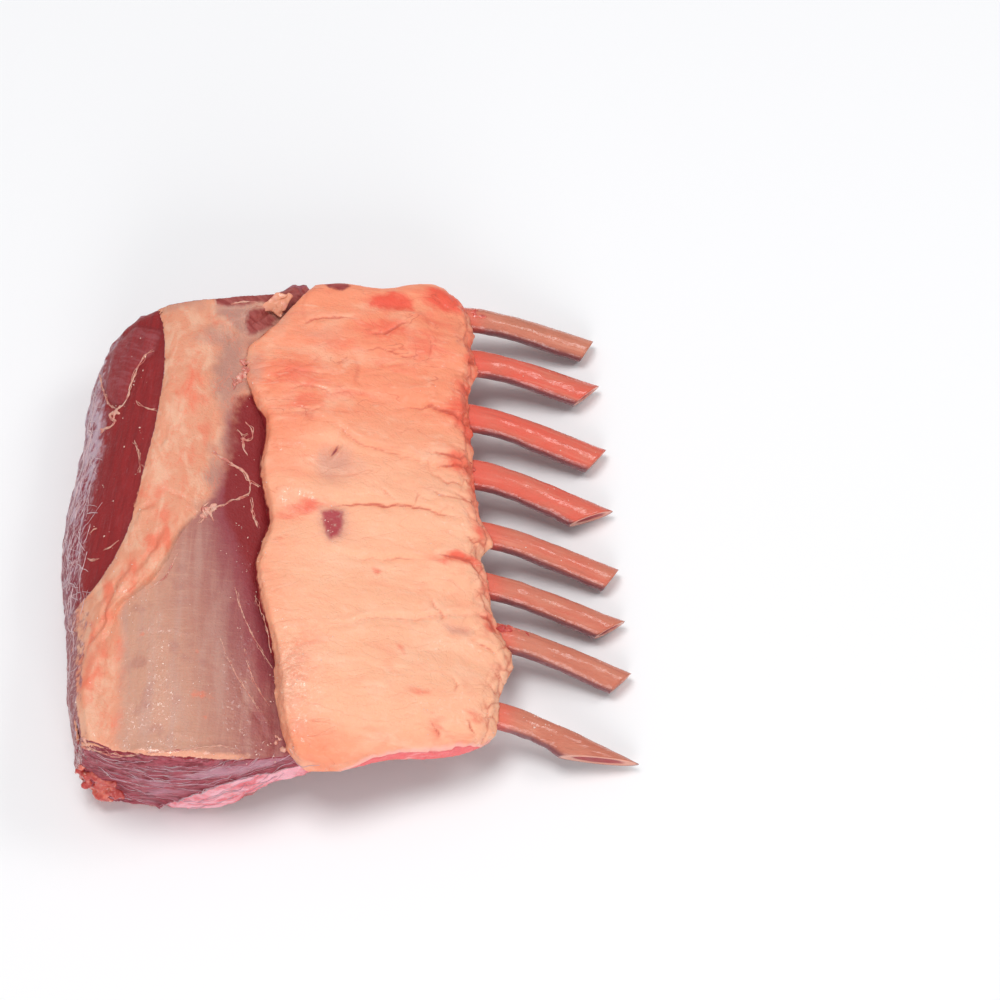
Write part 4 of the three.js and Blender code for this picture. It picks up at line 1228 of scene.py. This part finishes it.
def met_from(side, x, y):
    """What is met at two numbers of a place, looked at from above, at the loin end or at the chine side."""
    if side == ABOVE:
        return met((x, y, ABOVE_IT_ALL), (0, 0, -1))
    if side == LOIN_END:
        return met((x, BEFORE_THE_END, y), (0, 1, 0))
    across, down = math.cos(x / CHINE_ROUND), math.sin(x / CHINE_ROUND)
    start = (CHINE_MIDDLE[0] - CHINE_AWAY * across, y, CHINE_MIDDLE[1] + CHINE_AWAY * down)
    return met(start, (across, 0, -down))


def laid(route, seen_from, thickness, waver, strand=0):
    """A route laid on the meat as a smooth wavering line, with its radius in metres at each point."""
    route = np.array(route, float)
    run = np.r_[0, np.cumsum(np.hypot(*np.diff(route, axis=0).T))]
    at = np.linspace(0, run[-1], max(4, round(run[-1] / THREAD_STEP_MM)))
    x, y = (through(np.column_stack([run, side]), at) for side in route.T)
    along = np.column_stack([at + 40 * strand, 0 * at + route[0, 0], 0 * at + route[0, 1]])
    x, y = x + waver * lumps(along, 2.6, 51), y + waver * lumps(along, 2.6, 52)
    taper = 0.35 + 0.65 * np.sin(np.pi * (np.arange(len(at)) + 0.5) / len(at)) ** 0.5
    radii = thickness / 2 * taper * (1 + 0.5 * lumps(along, 1.6, 53) + 0.3 * lumps(along, 0.8, 54))
    points = []
    for k in range(len(at)):
        hit = met_from(seen_from, x[k], y[k])
        if hit is None or (seen_from == LOIN_END and hit[0][1] > DEEPEST_ON_THE_END):
            break
        if points and np.linalg.norm(hit[0] - points[-1]) > LONGEST_LEAP_MM:
            break
        points.append(hit[0] + hit[1] * radii[k] * 0.35)
    return (np.array(points), radii[:len(points)] * MM) if len(points) > 3 else None


threads = Shape("threads", Sides="Int", Roughness="Float")
thread_curves = threads.node("GeometryNodeMeshToCurve", None, {0: threads.given("Base")})
section = threads.node("GeometryNodeCurvePrimitiveCircle", None, {
    "Resolution": threads.given("Sides"), "Radius": 1.0})
swept = threads.node("GeometryNodeCurveToMesh", None, {
    "Curve": thread_curves, "Profile Curve": section, "Scale": threads.kept("radius"), "Fill Caps": True})
push = threads.noise(threads.node("GeometryNodeInputPosition"), 1.2) * threads.given("Roughness")
push = threads.scaled(threads.node("GeometryNodeInputNormal"), push)
threads.close(threads.node("GeometryNodeSetPosition", None, {"Geometry": swept, "Offset": push}))

STRING_FAT = srgb(226, 168, 148)
STRING_PINK = srgb(204, 112, 100)
THREAD_LILAC = srgb(212, 184, 190)

string_finish = Finish("torn_fat", Subsurface_Weight=0.2, Subsurface_Radius=FAT_GLOW,
                       Subsurface_Scale=0.001, Coat_Roughness=0.15, Roughness=0.4)
string_finish.feed(
    Base_Color=mix(step(string_finish.noise(3, 3), 0.4, 0.65), STRING_FAT, STRING_PINK),
    Coat_Weight=0.7 * step(string_finish.noise(1.5, 3), 0.45, 0.6))


def thread_finish(name, *colours):
    finish = Finish(name, Roughness=0.35, Coat_Weight=0.3, Coat_Roughness=0.15)
    finish.feed(Base_Color=mix(step(finish.noise(5, 3), 0.4, 0.65), *colours))
    return finish.material


def thread_lines(name, laid_lines):
    """The base of a piece made of threads: their points, with the radius at each."""
    lines = [line for line in laid_lines if line]
    return chains(name, [points for points, radii in lines], radius=[radii for points, radii in lines])


strings = []
for strand, share in enumerate(STRANDS):
    for thickness, route in STRINGS:
        strings.append(laid(route, ABOVE, share * thickness, 0.4 + 0.3 * strand, strand))
string_skin = threads.make(
    thread_lines("string_lines", strings), Sides=8, Roughness=0.45 * MM, Finish=string_finish.material)
dress("strings_of_fat", string_skin, None, "fat")

chance = np.random.default_rng(NET_SEED)
net = []
for k in range(NET_THREADS):
    v, height, length = (chance.uniform(*span) for span in (NET_ALONG, NET_HEIGHTS, NET_LENGTHS))
    turn = chance.normal(1.35, 0.25) if k % 3 else chance.normal(-0.75, 0.35)
    height = min(height, 22 + 12 * math.sin(math.pi * min(v / 150, 1)))
    bow = chance.normal(0, 0.12)
    route = [(height + t * length * math.cos(turn + bow * t), v + t * length * math.sin(turn + bow * t))
             for t in ROUTE_SHARES]
    net.append(laid(route, CHINE_SIDE, NET_THICKNESS_MM * chance.uniform(0.6, 1.5), 0.6))
net = [thread for thread in net if thread and thread[0][:, 0].max() < NET_REACH_MM]
hairs = []
for k in range(FACE_THREADS):
    u, z, length = (chance.uniform(*span) for span in (FACE_ACROSS, FACE_HEIGHTS, FACE_LENGTHS))
    slope = chance.normal(-0.1, 0.25) + 0.012 * (u - 45)
    route = [(u + t * length, z + slope * t * length + 1.5 * t * t) for t in ROUTE_SHARES]
    hairs.append(laid(route, LOIN_END, NET_THICKNESS_MM * chance.uniform(0.5, 1.3), 0.5))
for strand, share in enumerate(STRANDS):
    for thickness, route in FACE_STRINGS:
        hairs.append(laid(route, LOIN_END, 0.5 * share * thickness, 0.8, strand))
for name, lines, *colours in (
        ("net_of_threads", net, THREAD_LILAC, FIBRE_PALE),
        ("threads_on_the_cut_end", hairs, CUT_LILAC, THREAD_LILAC)):
    made = threads.make(
        thread_lines(name, lines), Sides=5, Roughness=0.1 * MM, Finish=thread_finish(name, *colours))
    dress(name, made, None, "fat")

# ---- Flecks -----------------------------------------------------------------------------------
# Crumbs of fat and bone that the knife and the saw left when the rack was trimmed. They stick to its
# moist surface, most of them near the cuts and along the edges of the fat. Their whitish colour also
# stands in for small painted glints of light.

FLECKS = [  # how many, about which place, spread how far, and their size in mm
    (26, (25, 135), (5, 30), 0.42),
    (10, (18, 105), (4, 22), 0.4),
    (16, (67, 125), (3.5, 22), 0.36),
    (30, (72, 78), (5, 18), 0.38),
    (16, (80, 40), (3, 12), 0.38),
    (14, (100.5, 93.5), (2.2, 4), 0.4),
    (34, (40, 3.5), (15, 1.6), 0.42),
    (22, (80, 6), (6, 3.5), 0.45),
    (16, (30, 59), (4, 3), 0.4),
    (14, (54, 23), (4, 4), 0.42),
    (9, (42, 32), (14, 16), 0.36),
    (20, (20, 50), (6, 18), 0.36),
    (14, (90, 40), (5, 16), 0.38),
    (12, (140, 27), (7, 10), 0.4),
    (16, (142, 118), (8, 30), 0.38),
    (18, (170, 26), (9, 5), 0.45),
    (60, (182, 110), (12, 60), 0.34),
]
FLECK_SEED = 11

chance = np.random.default_rng(FLECK_SEED)
fleck_places, fleck_sizes = [], []
for count, middle, spread, size in FLECKS:
    for k in range(count):
        spot = met_from(ABOVE, *chance.normal(middle, spread))
        if spot:
            fleck_places.append(spot[0])
            fleck_sizes.append(size * MM * chance.uniform(0.5, 1.4))

flecks = Shape("flecks", Seed="Int")
crumb = flecks.node("GeometryNodeMeshIcoSphere", None, {"Radius": 0.8, "Subdivisions": 1})


def at_random(low, high, seed_step):
    return flecks.node("FunctionNodeRandomValue", {"data_type": "FLOAT_VECTOR"}, {
        0: low, 1: high, "Seed": flecks.given("Seed") + seed_step})


scattered = flecks.node("GeometryNodeInstanceOnPoints", None, {
    "Points": flecks.given("Base"), "Instance": crumb, "Rotation": at_random((0, 0, 0), (6, 6, 6), 0),
    "Scale": flecks.scaled(at_random((0.4, 0.6, 0.3), (1.1, 1.5, 0.7), 1), flecks.kept("radius"))})
flecks.close(scattered)
# Whitish crumbs, partly standing in for painted glints.
crumb_finish = Finish("crumbs_of_fat", Base_Color=srgb(240, 204, 190), Roughness=0.3, Coat_Weight=0.6,
                      Coat_Roughness=0.12)
fleck_skin = flecks.make(
    chains("fleck_points", [np.array(fleck_places)], radius=[np.array(fleck_sizes)]),
    Seed=FLECK_SEED, Finish=crumb_finish.material)
dress("flecks", fleck_skin, None, "fat")

# ---- Scraps -----------------------------------------------------------------------------------
# Torn lumps of red meat and fat that were left when it was trimmed: at the chine corner of the loin end,
# at the roots of the nearest ribs, along the cap's edge over the loin and at the shoulder end.

RED_SCRAPS = [  # from where, the two numbers of its place there, and its radius in mm
    (LOIN_END, 13, 17, 2.6), (LOIN_END, 16.5, 19, 2.4), (LOIN_END, 18, 14.5, 2.8), (LOIN_END, 22, 15, 2.2),
    (LOIN_END, 14.5, 10, 2.6), (LOIN_END, 19, 9, 2.4), (LOIN_END, 24, 11, 2.0), (LOIN_END, 17, 5, 2.2),
    (ABOVE, 163, 62, 1.5), (ABOVE, 166, 63.5, 1.3), (ABOVE, 169, 63, 1.0), (ABOVE, 172, 62, 0.7),
    (ABOVE, 152, 130, 0.9), (ABOVE, 152, 200, 1.3), (ABOVE, 155, 199, 1.0),
]
PALE_SCRAPS = [
    (ABOVE, 62.5, 155.5, 1.3), (ABOVE, 64.5, 158, 1.5), (ABOVE, 66, 161, 1.4), (ABOVE, 65.5, 165, 1.2),
    (ABOVE, 55, 97, 1.0), (ABOVE, 57, 99.5, 1.1), (ABOVE, 53.5, 94.5, 0.9),
    (ABOVE, 19, 145.5, 0.9), (ABOVE, 17.5, 143.5, 1.0), (ABOVE, 16.5, 141, 0.8), (ABOVE, 13, 138, 0.9),
    (ABOVE, 85, 8, 0.9), (ABOVE, 83, 12, 0.8), (ABOVE, 88, 5, 0.9), (LOIN_END, 16, 40, 1.2),
]
CRUMBS_IN_A_SCRAP = 6
CRUMB_SHAPE = (1.5, 0.8, 0.75)  # long, narrow and flat


def scraps(name, blobs, face_mm, relief_mm, seed):
    """Torn lumps on the meat, each a few flattened crumbs run together and made uneven."""
    chance = np.random.default_rng(seed)
    rough = bmesh.new()
    for seen_from, x, y, radius in blobs:
        for _ in range(CRUMBS_IN_A_SCRAP):
            a, b = (x, y) + chance.normal(0, 0.6 * radius, 2)
            hit = met_from(seen_from, a, b)
            if hit is None:
                continue
            size = radius * MM * chance.uniform(0.45, 0.9)
            lie = Vector(hit[1]).to_track_quat("Z", "Y") @ Quaternion((0, 0, 1), chance.uniform(0, math.tau))
            place = Vector(hit[0] * MM) + Vector((U_START, V_START, 0))
            crumb = bmesh.ops.create_icosphere(rough, subdivisions=2, radius=1)["verts"]
            squashed = Matrix.LocRotScale(place, lie, Vector(CRUMB_SHAPE) * size)
            bmesh.ops.transform(rough, verts=crumb, matrix=squashed)
    mesh = bpy.data.meshes.new(name)
    rough.to_mesh(mesh)
    rough.free()
    skin = even_skin(mesh, face_mm, 4)
    places, normals = read_skin(skin)
    proud = relief_mm * uneven(places, (1, 2.0, seed), (0.5, 1.0, seed + 1))
    reshape_skin(skin, places + normals * proud[:, None])
    return skin


SCRAP_RED = srgb(192, 62, 56)
SCRAP_ORANGE = srgb(230, 118, 98)
scrap_finish = Finish("red_scraps", Subsurface_Weight=0.15, Subsurface_Radius=(1.0, 0.35, 0.25),
                      Subsurface_Scale=0.002, Coat_Roughness=0.12, Roughness=0.4)
noise = scrap_finish.noise
scrap_finish.feed(
    Base_Color=coats(
        SCRAP_RED,
        (step(noise(5, 4), 0.4, 0.64), SCRAP_ORANGE),
        (step(noise(2, 4), 0.6, 0.72), STRING_FAT)),
    Coat_Weight=0.2 + 0.7 * step(noise(2, 3), 0.45, 0.6),
    Normal=relief(noise(0.8, 3), 0.2))
dress("red_scraps", scraps("red_scraps", RED_SCRAPS, 0.4, 0.45, 61), scrap_finish, "lean")
dress("scraps_of_fat", scraps("scraps_of_fat", PALE_SCRAPS, 0.32, 0.3, 63), string_finish, "fat")

# ---- Torn flap --------------------------------------------------------------------------------
# A tongue of the band's fat at the shoulder end, torn loose when the shoulder was taken off. It stands
# up beside the cap with the dark muscle behind it.

FLAP_ROWS = [  # across it, from where it grows out of the band to its free edge, as (u, v, z)
    [(69, 190.8, 39.6), (71.5, 190.8, 38.9), (74.5, 190.2, 38), (77.3, 189.2, 36.8)],
    [(72, 193.4, 40.2), (75, 193.8, 39.9), (78, 193.6, 39.3), (80.4, 192.6, 38.1)],
    [(75.2, 196, 40.6), (77.8, 197.5, 41), (80.4, 197.8, 40.7), (82.2, 196.2, 39.6)],
]
FLAP_POINTS = (25, 21)  # across it and from its root to its free edge
FLAP_THICKNESS_MM = 0.8
FLAP_FACE_MM = 0.3

rows = np.array(FLAP_ROWS, float)
across = np.linspace(0, rows.shape[1] - 1, FLAP_POINTS[0])
along = np.linspace(0, rows.shape[0] - 1, FLAP_POINTS[1])
wide = np.array([[through(list(enumerate(side)), across) for side in row.T] for row in rows])
flap = np.array([[through(list(enumerate(side)), along) for side in strip.T]
                 for strip in wide.transpose(2, 0, 1)])
flap_places = flap.transpose(0, 2, 1).reshape(-1, 3) * MM + [U_START, V_START, 0]
columns = len(along)
flap_faces = [(i * columns + j, i * columns + j + 1, (i + 1) * columns + j + 1, (i + 1) * columns + j)
              for i in range(len(across) - 1) for j in range(columns - 1)]
flap_mesh = bpy.data.meshes.new("torn_flap")
flap_mesh.from_pydata(flap_places.tolist(), [], flap_faces)
thick = bpy.data.objects.new("torn_flap", flap_mesh)
bpy.context.collection.objects.link(thick)
solidify = thick.modifiers.new("thickness", "SOLIDIFY")
solidify.thickness = FLAP_THICKNESS_MM * MM
solidify.offset = 0
flap_solid = bpy.data.meshes.new_from_object(thick.evaluated_get(bpy.context.evaluated_depsgraph_get()))
bpy.data.objects.remove(thick)
flap_skin = even_skin(flap_solid, FLAP_FACE_MM, 2)
places, normals = read_skin(flap_skin)
places[:, 2] += uneven(places, (0.5, 4, 65), (0.25, 1.8, 66)) - 0.3 * ridge(lumps(places, 3.5, 69), 0.12)
places[:, :2] += np.column_stack([1.1 * lumps(places, 2.4, seed) for seed in (67, 68)])
reshape_skin(flap_skin, places)
flap_finish = Finish("torn_fat_of_the_band", Subsurface_Weight=0.1, Subsurface_Radius=FAT_GLOW,
                     Subsurface_Scale=0.001, Coat_Roughness=0.15, Roughness=0.42)
noise = flap_finish.noise
flap_finish.feed(
    Base_Color=coats(
        BAND_CREAM,
        (step(noise((5, 4, 3), 3), 0.5, 0.75) * 0.6, UNDER_PINK),
        (step(noise(3, 3), 0.58, 0.75) * 0.5, BAND_CORAL_FAT)),
    Coat_Weight=0.6 * step(noise(1.4, 3), 0.5, 0.62),
    Normal=relief(noise(1.0, 3), 0.2))
dress("torn_flap", flap_skin, flap_finish, "fat")
